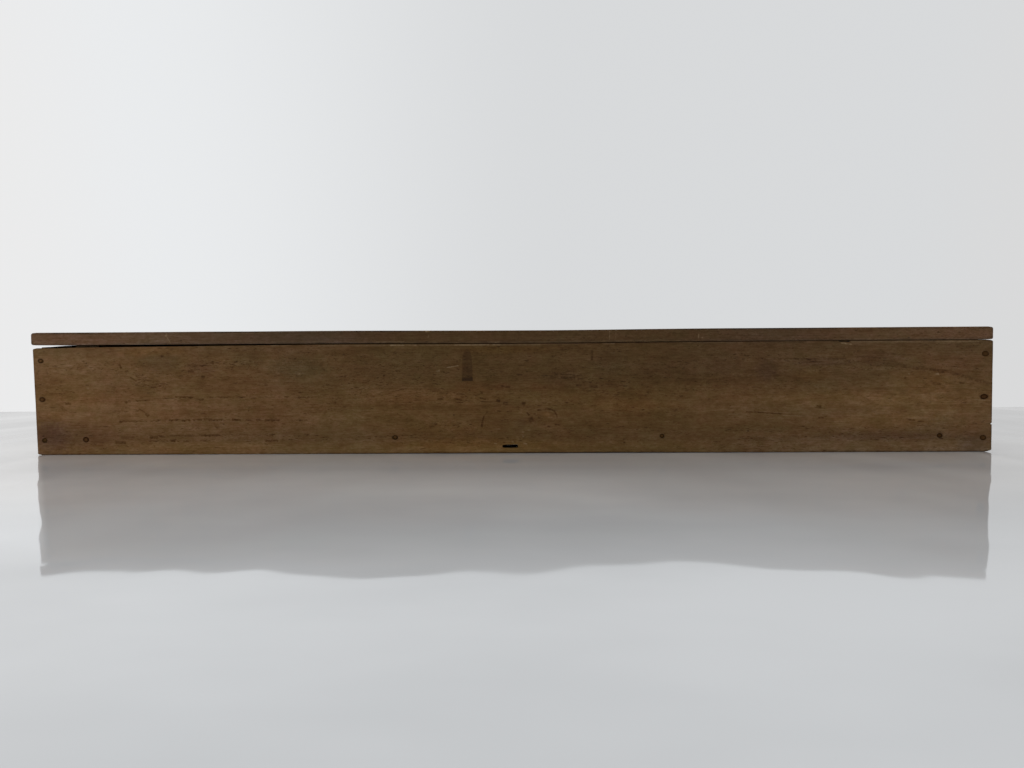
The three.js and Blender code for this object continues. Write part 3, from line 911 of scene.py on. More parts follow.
# the dark edge of a figure that curves down at the right end
CURVE = [
    (216.0, 58.2, 240.0, 56.4, 1.6, 0.30),
    (238.8, 56.4, 258.0, 55.2, 1.6, 0.35),
    (257.0, 55.2, 270.8, 53.4, 1.4, 0.50),
    (270.4, 53.4, 283.4, 51.6, 1.1, 0.70),
    (283.0, 51.6, 297.6, 47.4, 1.3, 0.50),
    (297.2, 47.4, 310.0, 43.9, 1.1, 0.50),
]


def front_rows(t, x, y, z):
    ragged = t.noise(t.xyz(t.mul(x, 0.05), 0.0, t.mul(z, 0.2)), detail=2)
    zz = t.add(z, t.mad(ragged, 2.4, -1.2))
    out = None
    v = t.xyz(x, zz, 1.0)
    for a0, b0, a1, b1, half, strength in VESSEL_ROWS:
        row = t.stroke(v, a0, b0, a1, b1, half * 1.2, half * 0.5, 5.0, strength)
        out = row if out is None else t.hi(out, row)
    return t.mul(out, t.step(y, -38.0, -39.0))


def slot_shade(t, x, z, height):
    """Painted shade: the walls of the cord slot are painted near black, for the dark inside of the slot."""
    a = t.step(t.math("ABSOLUTE", t.sub(x, SLOT_X)), 5.7, 5.4)
    b = t.step(t.math("ABSOLUTE", t.sub(z, height)), 1.5, 1.35)
    return t.mul(a, b)


def front_marks(t, x, y, z, p, colour, rough):
    front = t.step(y, -38.5, -39.5)
    n1 = t.noise(t.mad3(p, (0.5, 0.5, 0.5), (3, 1, 7)), detail=4, rough=0.6)
    n2 = t.noise(t.mad3(p, (1.6, 1.6, 0.5), (5, 2, 1)), detail=3, rough=0.6)

    # tone of the seen face: darkest high up in the middle, painted shade; paler in a belt; and paler along the foot,
    # painted light thrown up from the table
    up = t.step(z, 34.0, 52.0)
    top = t.add(t.step(x, -230.0, 40.0, 0.97, 0.77), t.step(x, 160.0, 290.0, 0.0, 0.07))
    tone = t.mad(up, t.sub(top, 1.0), 1.0)
    tone = t.mul(tone, t.mad(t.band(z, 20.0, 38.0, 8.0), 0.11, 1.0))
    tone = t.mul(tone, t.mad(t.step(z, 9.5, 4.5), 0.16, 1.0))
    tone = t.mul(tone, t.mad(t.band(z, 8.5, 15.0, 2.5), -0.05, 1.0))
    # darker again just under the lid, towards both ends
    tone = t.mul(tone, t.mad(t.mul(t.step(z, 60.0, 69.5), t.step(t.math("ABSOLUTE", t.sub(x, 10.0)), 60.0, 150.0)), -0.13, 1.0))
    tone = t.mul(tone, t.mad(t.mul(t.step(z, 24.0, 10.0), t.step(x, 60.0, -20.0)), 0.06, 1.0))
    # painted light from the sides: lighter towards both ends
    tone = t.mul(tone, side_lit_along(t, x))
    colour = t.mix(front, colour, t.shade(colour, tone))
    m = Marks(t, x, z, front, colour, n1, n2)
    # yellower where it was held, in the middle
    m.lay(t.band(m.a, -95.0, 125.0, 60.0), (1.0, 0.99, 0.80), "MULTIPLY")
    m.lay(t.step(m.b, 42.0, 28.0), (0.98, 1.0, 1.10), "MULTIPLY")
    m.lay(t.step(m.b, 11.0, 4.0), (0.955, 1.0, 0.98), "MULTIPLY")
    m.lay(t.step(m.a, 130.0, 210.0), (0.965, 1.0, 1.05), "MULTIPLY")
    m.lay(t.mul(t.step(m.a, 110.0, 160.0), t.step(m.b, 14.0, 5.0)), (0.96, 1.01, 1.12), "MULTIPLY")

    # broad stains of age
    grey = (0.84, 0.90, 0.90)
    plum = (0.86, 0.81, 0.86)
    rust = (1.03, 0.93, 0.88)
    tan = (1.11, 1.09, 1.02)
    rose = (1.07, 0.99, 1.03)
    olive = (0.96, 1.0, 0.86)
    for a0, b0, ra, rb, strength, tint in (
        (-226.0, 60.5, 17.0, 9.0, 0.95, (0.82, 0.88, 0.92)),
        (-199.0, 57.5, 12.0, 7.5, 0.90, (0.83, 0.78, 0.80)),
        (-168.0, 62.0, 14.0, 6.5, 0.90, (0.82, 0.84, 0.78)),
        (-136.0, 57.0, 24.0, 10.0, 1.00, (0.78, 0.83, 0.80)),
        (-141.0, 44.0, 20.0, 8.0, 0.60, (0.86, 0.90, 0.84)),
        (-236.0, 44.5, 10.0, 7.0, 0.80, (0.88, 0.90, 0.83)),
        (-262.0, 42.0, 20.0, 15.0, 0.70, (1.06, 1.02, 1.13)),
        (-231.0, 67.6, 26.0, 3.6, 0.90, (1.24, 1.22, 1.14)),
        (0.0, 67.6, 34.0, 3.2, 0.85, (1.22, 1.19, 1.11)),
        (-16.0, 5.6, 62.0, 6.5, 0.90, (1.22, 1.20, 1.14)),
        (-196.0, 5.0, 60.0, 5.5, 0.70, (1.09, 1.08, 1.05)),
        (-40.0, 17.0, 36.0, 6.0, 0.60, (1.13, 1.11, 1.06)),
        (-234.0, 26.0, 24.0, 8.0, 0.60, (1.10, 1.10, 1.08)),
        (-268.0, 20.0, 18.0, 7.0, 0.55, (1.12, 1.08, 1.10)),
        (-297.0, 25.5, 11.0, 4.5, 0.80, (1.18, 1.17, 1.18)),
        (66.0, 60.0, 15.0, 12.0, 0.85, (0.84, 0.83, 0.84)),
        (140.0, 57.0, 15.0, 9.0, 0.70, (0.86, 0.86, 0.85)),
        (197.0, 50.0, 14.0, 5.0, 0.85, (1.18, 1.16, 1.10)),
        (266.0, 45.5, 28.0, 8.0, 0.90, (1.18, 1.16, 1.12)),
        (167.0, 15.5, 30.0, 3.4, 0.80, (0.87, 0.88, 0.80)),
        (299.0, 17.5, 12.0, 5.0, 0.60, (1.14, 1.12, 1.06)),
        (299.0, 5.0, 13.0, 7.0, 0.85, (0.85, 0.88, 1.02)),
        (-70.0, 58.0, 46.0, 13.0, 0.55, grey),
        (-165.0, 47.0, 46.0, 10.0, 0.30, rose),
        (-282.0, 40.0, 24.0, 16.0, 0.55, tan),
        (-282.0, 12.0, 34.0, 12.0, 0.95, plum),
        (-300.0, 12.0, 15.0, 15.0, 1.0, (0.74, 0.68, 0.80)),
        (-262.0, 30.0, 44.0, 11.0, 0.60, (1.08, 1.05, 1.08)),
        (-60.0, 37.5, 42.0, 6.0, 0.75, rose),
        (-20.0, 44.0, 16.0, 5.0, 0.6, rust),
        (-96.0, 24.0, 60.0, 9.0, 0.55, olive),
        (36.0, 49.0, 15.0, 7.0, 0.60, plum),
        (60.0, 44.0, 26.0, 3.5, 0.45, plum),
        (112.0, 56.0, 42.0, 12.0, 0.45, plum),
        (9.3, 19.5, 4.5, 5.5, 0.9, (0.88, 0.86, 0.90)),
        (16.0, 21.5, 6.0, 7.0, 0.8, (0.92, 0.87, 0.88)),
        (0.0, 32.6, 16.0, 3.6, 0.8, (0.88, 0.85, 0.84)),
        (25.4, 25.6, 3.4, 2.2, 0.9, (1.20, 1.16, 1.14)),
        (-3.2, 43.5, 9.0, 3.0, 0.9, (0.98, 0.86, 0.84)),
        (19.0, 43.4, 8.0, 3.0, 0.8, (0.98, 0.88, 0.84)),
        (80.0, 31.0, 38.0, 5.0, 0.8, tan),
        (120.0, 47.0, 26.0, 10.0, 0.4, rust),
        (167.5, 53.5, 9.5, 9.0, 1.0, (0.80, 0.75, 0.82)),
        (201.0, 58.4, 25.0, 3.4, 0.95, plum),
        (238.0, 60.5, 20.0, 6.0, 0.85, plum),
        (276.0, 55.0, 16.0, 11.0, 0.6, (0.98, 0.88, 0.90)),
        (210.0, 34.0, 62.0, 7.0, 0.75, tan),
        (262.0, 30.0, 34.0, 12.0, 0.8, tan),
        (290.0, 36.0, 26.0, 22.0, 0.7, (1.07, 1.06, 1.02)),
        (266.0, 51.0, 28.0, 8.0, 0.6, (1.10, 1.08, 1.04)),
        (292.0, 60.0, 16.0, 12.0, 0.85, (0.94, 0.86, 0.86)),
        (250.0, 10.6, 52.0, 3.6, 1.0, (0.84, 0.80, 0.84)),
        (236.0, 20.0, 44.0, 6.5, 0.85, (1.14, 1.12, 1.06)),
        (300.0, 12.0, 12.0, 14.0, 0.45, plum),
        (155.0, 14.0, 60.0, 8.0, 0.4, olive),
    ):
        m.cloud(a0, b0, ra, rb, strength, tint)

    # the dark upright patch, ragged, with a darker foot
    jag = t.mad(n1, 0.9, -0.45)
    zz, xx = t.add(m.b, jag), t.add(m.a, t.mul(jag, 0.5))
    half = t.mul(t.line(m.b, 47.0, 64.0, 3.55, 3.0), t.line(m.b, 63.0, 68.5, 1.0, 0.45))
    side = t.step(t.sub(t.math("ABSOLUTE", t.sub(xx, -25.3)), half), 0.40, -0.40)
    patch = t.mul(side, t.mul(t.step(zz, 46.9, 47.6), t.step(m.b, 68.8, 65.0)))
    patch = t.mul(patch, t.line(n2, 0.3, 0.7, 0.8, 1.0))
    m.lay(t.mul(patch, t.line(m.b, 48.0, 68.0, 1.0, 0.8)), (0.61, 0.54, 0.42), "MULTIPLY")
    m.lay(t.mul(t.mul(side, t.band(zz, 47.3, 49.3, 0.5)), 0.60), (0.026, 0.011, 0.0025))

    for a0, b0, a1, b1, w, strength, tint in (
        (-38.6, 56.1, -30.9, 57.3, 0.42, 0.75, PALE),
        (-45.2, 53.7, -43.2, 54.2, 0.75, 0.55, PALE),
        (101.6, 0.2, 103.4, 0.5, 0.6, 0.7, PALE),
        (214.4, 70.4, 217.6, 70.1, 0.55, 0.65, PALE),
        (216.8, 69.9, 221.4, 69.5, 0.5, 0.75, PALE),
        (300.0, 33.6, 309.6, 33.0, 0.35, 0.60, PALE),
        (307.5, 18.3, 311.0, 18.3, 0.3, 0.6, DARK),
        (274.9, 50.3, 277.0, 50.2, 0.9, 0.75, PALE),
        (257.3, 50.4, 258.7, 50.4, 0.7, 0.5, PALE),
        (-135.6, 52.4, -134.2, 52.4, 0.7, 0.55, PALE),
        (9.8, 14.0, 11.4, 14.0, 0.45, 0.55, PALE),
        (13.7, 15.3, 15.3, 15.2, 0.45, 0.5, PALE),
        (10.8, 6.5, 13.2, 6.2, 0.75, 0.60, PALE),
        (10.0, 11.2, 11.0, 11.0, 0.6, 0.45, PALE),
        (-8.2, 6.6, -6.4, 6.4, 0.6, 0.40, PALE),
        (3.2, 7.6, 4.6, 7.4, 0.6, 0.40, PALE),
        (-274.8, 43.8, -273.2, 43.8, 0.8, 0.35, PALE),
        (-6.0, 16.0, -4.4, 16.0, 0.4, 0.35, PALE),
        (75.4, 43.6, 77.8, 43.4, 0.7, 0.45, DARK),
        (22.0, 50.6, 27.0, 50.2, 0.5, 0.35, DARK),
        (143.0, 25.1, 155.0, 25.1, 0.35, 0.40, PALE),
        (178.0, 24.0, 192.0, 23.5, 0.30, 0.45, PALE),
        (227.0, 24.0, 234.6, 24.0, 0.35, 0.50, PALE),
    ):
        m.dash(a0, b0, a1, b1, w, strength, tint)

    # worn bright along the upper arris where the lid has rubbed
    for a0, b0, a1, b1, w, strength in (
        (-122.0, 70.7, -58.0, 70.7, 0.80, 0.27),
        (-60.0, 70.6, 22.0, 70.6, 0.75, 0.30),
        (22.0, 70.7, 52.0, 70.8, 0.60, 0.14),
        (221.0, 71.1, 302.0, 70.8, 0.70, 0.30),
        (-153.0, 70.9, -148.0, 70.9, 0.6, 0.40),
        (-75.0, 70.7, -66.0, 70.7, 0.65, 0.70),
        (-33.5, 70.7, -11.0, 70.7, 0.6, 0.42),
        (-8.6, 70.7, -3.6, 70.7, 0.6, 0.50),
        (62.0, 70.8, 70.0, 70.9, 0.5, 0.36),
        (113.0, 71.2, 152.0, 71.2, 0.5, 0.16),
        (280.0, 70.9, 296.0, 70.6, 0.6, 0.20),
    ):
        m.dash(a0, b0, a1, b1, w, strength, PALE)
    # and painted shade in the joint above it, with some dirt: the board's top is blackened so the narrow gap under the
    # lid reads dark
    sunk = t.step(t.math("ABSOLUTE", t.sub(m.a, 15.0)), 130.0, 15.0, 0.0, 0.48)
    sunk = t.add(sunk, t.step(m.a, 150.0, 230.0, 0.0, -0.18))
    black = t.mul(t.step(t.add(m.b, sunk), 71.35, 71.75, 0.0, 0.75), t.mad(t.band(m.a, 172.0, 238.0, 10.0), -0.42, 1.0))
    m.lay(black, (0.030, 0.0065, 0.0010))

    m.strokes(TORN)
    m.strokes(TORN_ROWS, wavy=True)
    m.strokes(STROKES, soft=0.4)
    m.strokes(CURVE, wavy=True, soft=1.5)
    m.arc(-134.9, 52.4, 2.0, 1.9, -3.3, 3.3, 0.13, 0.45, DARK)
    # the slit of a splinter torn from under the lid, painted near black as the shade inside it
    m.lay(t.stroke(m.r, 213.2, 71.75, 220.0, 71.55, 0.75, 0.35, 0.5, 1.0), (0.003, 0.002, 0.001))

    # painted shade: a thin dark line where the board stands on the ground, following the hollow in its middle
    bowed = t.step(t.math("ABSOLUTE", t.sub(m.a, 35.0)), 145.0, 20.0, 0.0, 0.40)
    low = t.step(t.sub(m.b, bowed), t.step(m.a, 190.0, 230.0, 0.8, 1.3), 0.25, 0.0, 0.65)
    m.lay(t.mul(low, t.line(n1, 0.3, 0.7, 0.6, 1.0)), (0.022, 0.012, 0.007))

    m.rims("front", 0, 2)
    colour = m.done()
    # painted shade: near black inside the cord slot
    darkened = t.mul(slot_shade(t, m.a, m.b, SLOT_FRONT), t.step(y, -39.85, -39.6))
    return t.mix(darkened, colour, (0.004, 0.003, 0.002)), rough


def back_marks(t, x, y, z, p, colour, rough):
    back = t.step(y, 38.5, 39.5)
    n1 = t.noise(t.mad3(p, (0.5, 0.5, 0.5), (8, 2, 4)), detail=4, rough=0.6)
    n2 = t.noise(t.mad3(p, (1.6, 1.6, 0.5), (2, 6, 3)), detail=3, rough=0.6)
    grey, plum, tan = (0.84, 0.90, 0.90), (0.86, 0.81, 0.86), (1.12, 1.09, 1.01)
    # painted light: paler along the foot and towards both ends, as on the front
    tone = t.mul(t.mad(t.step(z, 9.5, 4.5), 0.12, 1.0), t.step(t.math("ABSOLUTE", x), 20.0, 300.0, 0.92, 1.05))
    colour = t.mix(back, colour, t.shade(colour, tone))
    m = Marks(t, x, z, back, colour, n1, n2)
    for a0, b0, ra, rb, strength, tint in (
        (-236.0, 50.0, 40.0, 14.0, 0.8, plum),
        (-150.0, 24.0, 60.0, 11.0, 0.7, tan),
        (-60.0, 58.0, 44.0, 9.0, 0.8, grey),
        (30.0, 38.0, 50.0, 12.0, 0.6, tan),
        (96.0, 60.0, 34.0, 8.0, 0.7, plum),
        (176.0, 20.0, 56.0, 12.0, 0.7, plum),
        (250.0, 46.0, 40.0, 16.0, 0.7, tan),
        (286.0, 14.0, 24.0, 12.0, 0.8, grey),
    ):
        m.cloud(a0, b0, ra, rb, strength, tint)
    for a0, b0, a1, b1, w, strength, tint in (
        (-196.0, 41.0, -171.0, 38.6, 0.3, 0.6, PALE),
        (-189.0, 39.0, -176.0, 37.9, 0.22, 0.45, PALE),
        (64.0, 30.0, 71.0, 36.0, 0.35, 0.55, PALE),
        (140.0, 52.0, 202.0, 50.4, 0.28, 0.5, DARK),
        (-90.0, 14.0, -31.0, 15.6, 0.28, 0.45, DARK),
        (222.0, 30.0, 224.4, 30.4, 0.8, 0.8, DARK),
        (-264.0, 60.2, -261.0, 60.2, 0.9, 0.8, DARK),
    ):
        m.dash(a0, b0, a1, b1, w, strength, tint)
    # painted shade: a thin dark line where the board stands on the ground
    m.lay(t.mul(t.step(m.b, 0.9, 0.25, 0.0, 0.65), t.line(n1, 0.3, 0.7, 0.6, 1.0)), (0.022, 0.012, 0.007))
    m.rims("back", 0, 2)
    colour = m.done()
    # painted shade: near black inside the cord slot
    darkened = t.mul(slot_shade(t, m.a, m.b, SLOT_BACK), t.step(y, 39.85, 39.6))
    return t.mix(darkened, colour, (0.004, 0.003, 0.002)), rough


def end_marks(side):
    s = -1 if side == "left" else 1

    def marks(t, x, y, z, p, colour, rough):
        face = t.step(t.mul(x, float(s)), 307.8, 308.6)
        n1 = t.noise(t.mad3(p, (0.5, 0.5, 0.5), (8, 5, s)), detail=4, rough=0.6)
        n2 = t.noise(t.mad3(p, (0.5, 1.6, 1.6), (s, 6, 3)), detail=3, rough=0.6)
        m = Marks(t, y, z, face, colour, n1, n2)
        grey, plum, tan = (0.84, 0.90, 0.90), (0.86, 0.81, 0.86), (1.12, 1.09, 1.01)
        for a0, b0, ra, rb, strength, tint in (
            (-14.0 * s, 50.0, 16.0, 12.0, 0.8, tan),
            (12.0 * s, 24.0, 18.0, 10.0, 0.8, plum),
            (4.0, 62.0, 24.0, 7.0, 0.7, grey),
        ):
            m.cloud(a0, b0, ra, rb, strength, tint)
        m.dash(-9.0, 38.0 + 4 * s, 6.0, 35.0 + 4 * s, 0.3, 0.55, PALE)
        m.dash(14.0, 57.0, 17.0, 57.4, 0.7, 0.7, DARK)
        # painted shade: a thin dark line where the board stands on the ground
        m.lay(t.mul(t.step(m.b, 1.0, 0.25, 0.0, 0.6), t.line(n1, 0.3, 0.7, 0.6, 1.0)), (0.022, 0.012, 0.007))
        m.rims(side + "_end", 1, 2)
        return m.done(), rough

    return marks


def side_lit_along(t, x):
    """Painted light from the sides: lighter towards both ends, darkest in the middle."""
    return t.add(t.step(x, -290.0, 30.0, 1.16, 0.84), t.step(x, 80.0, 250.0, 0.0, 0.27))


def lid_marks(t, x, y, z, p, colour, rough):
    n1 = t.noise(t.mad3(p, (0.5, 0.5, 0.5), (9, 4, 7)), detail=4, rough=0.6)
    n2 = t.noise(t.mad3(p, (1.6, 0.5, 1.6), (4, 9, 1)), detail=3, rough=0.6)
    edge_face = t.step(y, -39.6, -40.1)
    # the edge is darkest from the middle to the right
    tone = t.add(t.step(x, -270.0, -120.0, 1.07, 0.655), t.step(x, 165.0, 250.0, 0.0, 0.245))
    colour = t.mix(edge_face, t.shade(colour, 0.95), t.shade(colour, tone))
    m = Marks(t, x, z, edge_face, colour, n1, n2, 0.3)
    # bleached towards the left end
    m.lay(t.step(m.a, -60.0, -120.0), (0.97, 1.045, 1.50), "MULTIPLY")
    m.lay(t.step(m.a, -240.0, -290.0), (0.98, 0.92, 0.92), "MULTIPLY")
    m.lay(t.step(m.a, 100.0, 170.0), (0.985, 0.995, 1.22), "MULTIPLY")
    # handled front edge: darker along its top arris, paler nicks on its lower one
    runs = t.hi(t.band(x, 60.0, 88.0, 4.0), t.band(x, 106.0, 215.0, 8.0))
    top = t.mul(t.step(m.b, 79.3, 79.9, 0.0, 0.72), t.hi(runs, t.step(t.noise(t.mad3(p, (0.02, 0.1, 0.1), (2, 2, 2)), detail=3), 0.48, 0.6)))
    m.lay(top, (0.020, 0.011, 0.006))
    for a0, b0, a1, b1, w, strength, tint in (
        (-221.6, 77.3, -221.0, 79.2, 0.85, 0.85, PALE),
        (-220.8, 77.0, -218.6, 73.0, 0.30, 0.70, PALE),
        (66.5, 73.2, 66.7, 79.2, 0.35, 0.45, PALE),
        (70.5, 74.0, 70.7, 78.6, 0.25, 0.25, PALE),
        (123.5, 74.0, 123.8, 77.0, 0.55, 0.45, PALE),
        (125.5, 74.3, 126.5, 74.5, 0.45, 0.40, PALE),
        (-52.4, 79.5, -49.6, 79.6, 0.65, 0.75, PALE),
        (-50.6, 75.2, -50.0, 77.4, 0.50, 0.28, PALE),
        (-206.0, 73.4, -118.0, 73.3, 0.70, 0.13, PALE),
        (-118.0, 73.3, -40.0, 73.2, 0.60, 0.10, PALE),
        (-84.0, 73.0, -66.0, 73.0, 0.40, 0.25, PALE),
        (-309.0, 73.8, -284.0, 73.8, 1.10, 0.20, PALE),
        (62.0, 73.0, 104.0, 73.0, 0.40, 0.12, PALE),
        (206.0, 73.2, 286.0, 73.2, 0.60, 0.10, PALE),
        (-190.0, 78.7, -160.0, 78.9, 0.28, 0.25, PALE),
        (22.0, 76.2, 60.0, 76.5, 0.24, 0.30, DARK),
        (-140.0, 75.0, -92.0, 75.3, 0.26, 0.35, DARK),
        (150.0, 75.6, 205.0, 75.2, 0.26, 0.35, DARK),
    ):
        m.dash(a0, b0, a1, b1, w, strength, tint)
    # dust, water marks and rubs on the top
    topside = t.step(z, 79.9, 80.2)
    mt = Marks(t, x, y, topside, m.done(), n1, n1, 0.3)
    dust = t.noise(t.mad3(p, (0.012, 0.03, 0.02), (6, 1, 3)), detail=5, rough=0.65)
    mt.lay(t.step(dust, 0.42, 0.72, 0.0, 0.20), (0.36, 0.29, 0.21))
    for a0, b0, ra, rb, strength, tint in (
        (-230.0, 14.0, 46.0, 18.0, 0.75, (0.86, 0.82, 0.86)),
        (-120.0, -16.0, 60.0, 16.0, 0.70, (1.12, 1.09, 1.01)),
        (10.0, 6.0, 90.0, 26.0, 0.55, (0.84, 0.86, 0.84)),
        (150.0, -12.0, 60.0, 18.0, 0.70, (1.12, 1.08, 1.00)),
        (262.0, 18.0, 34.0, 16.0, 0.80, (0.86, 0.81, 0.85)),
    ):
        mt.cloud(a0, b0, ra, rb, strength, tint)
    for arc in (
        (-96.0, 8.0, 19.0, 19.0, -2.6, 1.9, 0.035, 0.34, DARK),
        (196.0, -10.0, 14.0, 14.0, -0.6, 3.0, 0.045, 0.30, DARK),
    ):
        mt.arc(*arc)
    for a0, b0, a1, b1, w, strength, tint in (
        (-40.0, -20.0, 12.0, -7.0, 0.28, 0.55, PALE),
        (-22.0, -19.0, 20.0, -9.0, 0.20, 0.40, PALE),
        (84.0, 20.0, 121.0, 27.0, 0.28, 0.50, PALE),
        (-190.0, -6.0, -166.0, -14.0, 0.24, 0.45, PALE),
        (226.0, -24.0, 262.0, -22.0, 0.26, 0.45, PALE),
        (-300.0, 22.0, -240.0, 23.4, 0.30, 0.50, DARK),
        (-60.0, 30.0, -57.0, 30.5, 0.9, 0.75, DARK),
        (108.0, -28.0, 111.0, -28.4, 0.8, 0.75, DARK),
    ):
        mt.dash(a0, b0, a1, b1, w, strength, tint)
    mt.rims("lid", 0, 1)
    return mt.done(), rough


def inner_of_front(t, x, y, z):
    return t.step(y, -33.2, -31.9)


def inner_of_back(t, x, y, z):
    return t.step(y, 33.2, 31.9)


def inner_of_left(t, x, y, z):
    return t.step(x, -302.0, -300.7)


def inner_of_right(t, x, y, z):
    return t.step(x, 303.2, 301.9)


def under_lid(t, x, y, z):
    # painted shade with ageing: the underside keeps the darker aged colour towards its edges, so the narrow gap under
    # the lid reads dark
    inner = t.mul(t.step(t.math("ABSOLUTE", y), 31.6, 25.0), t.step(t.math("ABSOLUTE", x), 302.0, 292.0))
    return t.mul(t.step(z, 73.2, 72.1), t.mad(inner, 0.75, 0.25))


def above_floor(t, x, y, z):
    return t.step(z, 9.0, 12.0)


def everywhere(t, x, y, z):
    return t.step(z, -50.0, -40.0)


# ------------------------------------------------------------------- build
FRONT_NICKS = [
    (216.6, 72.3, 3.9, 1.3, 1.15),
    (312.0, 18.2, 1.75, 2.2, 0.95),
    (102.6, -0.3, 1.4, 0.9, 0.6),
    (-71.3, 72.2, 1.8, 0.6, 0.5),
    (-150.4, 72.1, 2.1, 0.6, 0.5),
    (-309.5, 0.2, 1.1, 1.0, 1.0),
    (31.0, 72.2, 1.2, 0.5, 0.4),
    (-38.0, -0.3, 2.0, 0.7, 0.45),
    (231.0, -0.3, 2.6, 0.7, 0.5),
]
BACK_NICKS = [
    (-122.0, 72.3, 2.2, 0.8, 0.7),
    (64.0, -0.2, 1.6, 0.8, 0.6),
    (251.0, 72.3, 1.4, 0.7, 0.5),
    (-204.0, -0.3, 2.4, 0.8, 0.5),
    (311.2, 44.0, 1.0, 1.4, 1.3),
]

lo, hi = node_box("front_side_board")
place(make_side("front_side_board", 11, LEFT_WEAR, RIGHT_WEAR, FRONT_NICKS), "front_side_board", "box",
      wood("front_board_wood", lo, hi, 5, lip=True, inside=inner_of_front, marks=front_marks, rows=front_rows))
lo, hi = node_box("back_side_board")
place(make_side("back_side_board", 12, BACK_WEAR, BACK_RIGHT, BACK_NICKS), "back_side_board", "box",
      wood("back_board_wood", lo, hi, 23, lip=True, inside=inner_of_back, marks=back_marks, pith=(-30.0, 190.0)))
for side, seed, ins in (("left", 31, inner_of_left), ("right", 37, inner_of_right)):
    n = side + "_end_board"
    lo, hi = node_box(n)
    place(make_board(n, seed, (2.5, 2.0, 2.0)), n, "box",
          wood(n + "_wood", lo, hi, seed, grain="y", lip=True, inside=ins, marks=end_marks(side), tone=0.95, pith=(-220.0, -90.0), gap=8.0))
n = "bottom_board"
lo, hi = node_box(n)
place(make_board(n, 41, (4.0, 3.0, 3.0)), n, "box",
      wood("bottom_board_wood", lo, hi, 43, inside=above_floor, tone=1.05))
n = "lid_board"
lo, hi = node_box(n)
lid_lo, lid_hi = lo, hi
pts, faces = board_points(lo, hi, (2.0, 3.0, 2.2), 1.1, 0.32, 51)
pts[:, 2] -= 0.05 * (1 + lattice_noise(pts * [1, 1, 0.1], 0.03, 52)) * (pts[:, 2] > hi[2] - 2)
pts[:, 2] -= sag(pts[:, 0])
# its corners are rounded by handling, the left ones most
up = smooth(lo[2] + 3.0, hi[2] - 0.8, pts[:, 2])
dn = smooth(hi[2] - 3.0, lo[2] + 0.8, pts[:, 2])
a, b = pts[:, 0] - lo[0], hi[0] - pts[:, 0]
corner = smooth(24.0, 40.0, np.abs(pts[:, 1]))
TOP_LEFT = profile([(0, 1.15), (0.5, 0.55), (1.2, 0.2), (2.2, 0.05), (4, 0)])
LOW_SIDE = profile([(0, 0.9), (0.5, 0.4), (1.2, 0.12), (2.2, 0)])
TOP_RIGHT = profile([(0, 0.95), (0.6, 0.45), (1.6, 0.15), (3.0, 0)])
pts[:, 2] -= (TOP_LEFT(a) + TOP_RIGHT(b)) * up * (0.35 + 0.65 * corner)
pts[:, 2] += (LOW_SIDE(a) + 0.6 * LOW_SIDE(b)) * dn * (0.35 + 0.65 * corner)
lid = mesh_object("lid_board_wood", pts, faces)
cut(lid, holes)
for j, (cx, cy, cz, ax, ay, az) in enumerate([
    (-51.2, -40.5, 80.9, 1.7, 0.8, 0.7),
    (-221.2, -40.7, 78.6, 0.9, 0.6, 0.9),
    (310.9, -40.9, 80.9, 1.0, 1.0, 0.9),
    (140.0, 40.5, 80.9, 2.4, 0.9, 0.8),
    (-311.2, 12.0, 80.9, 1.0, 2.6, 0.9),
    (311.2, -17.0, 80.9, 0.8, 2.0, 0.8),
    (-84.0, 40.5, 80.8, 3.0, 0.8, 0.7),
    (-164.0, 40.6, 72.0, 2.2, 0.8, 0.6),
]):
    b = nick(cx, cy, cz, ax, ay, az, 700 + j)
    cut(lid, b)
    remove(b)
place(shade(lid), n, "lid", wood("lid_wood", lo, hi, 53, inside=under_lid, marks=lid_marks, pith=(60.0, -40.0), gap=13.0))
for side, seed in (("left", 61), ("right", 67)):
    n = f"lid_{side}_batten"
    lo, hi = node_box(n)
    place(make_board(n, seed, (1.6, 2.0, 1.6), 0.9, 0.35), n, "lid",
          wood(n + "_wood", lo, hi, seed, grain="y", inside=everywhere))

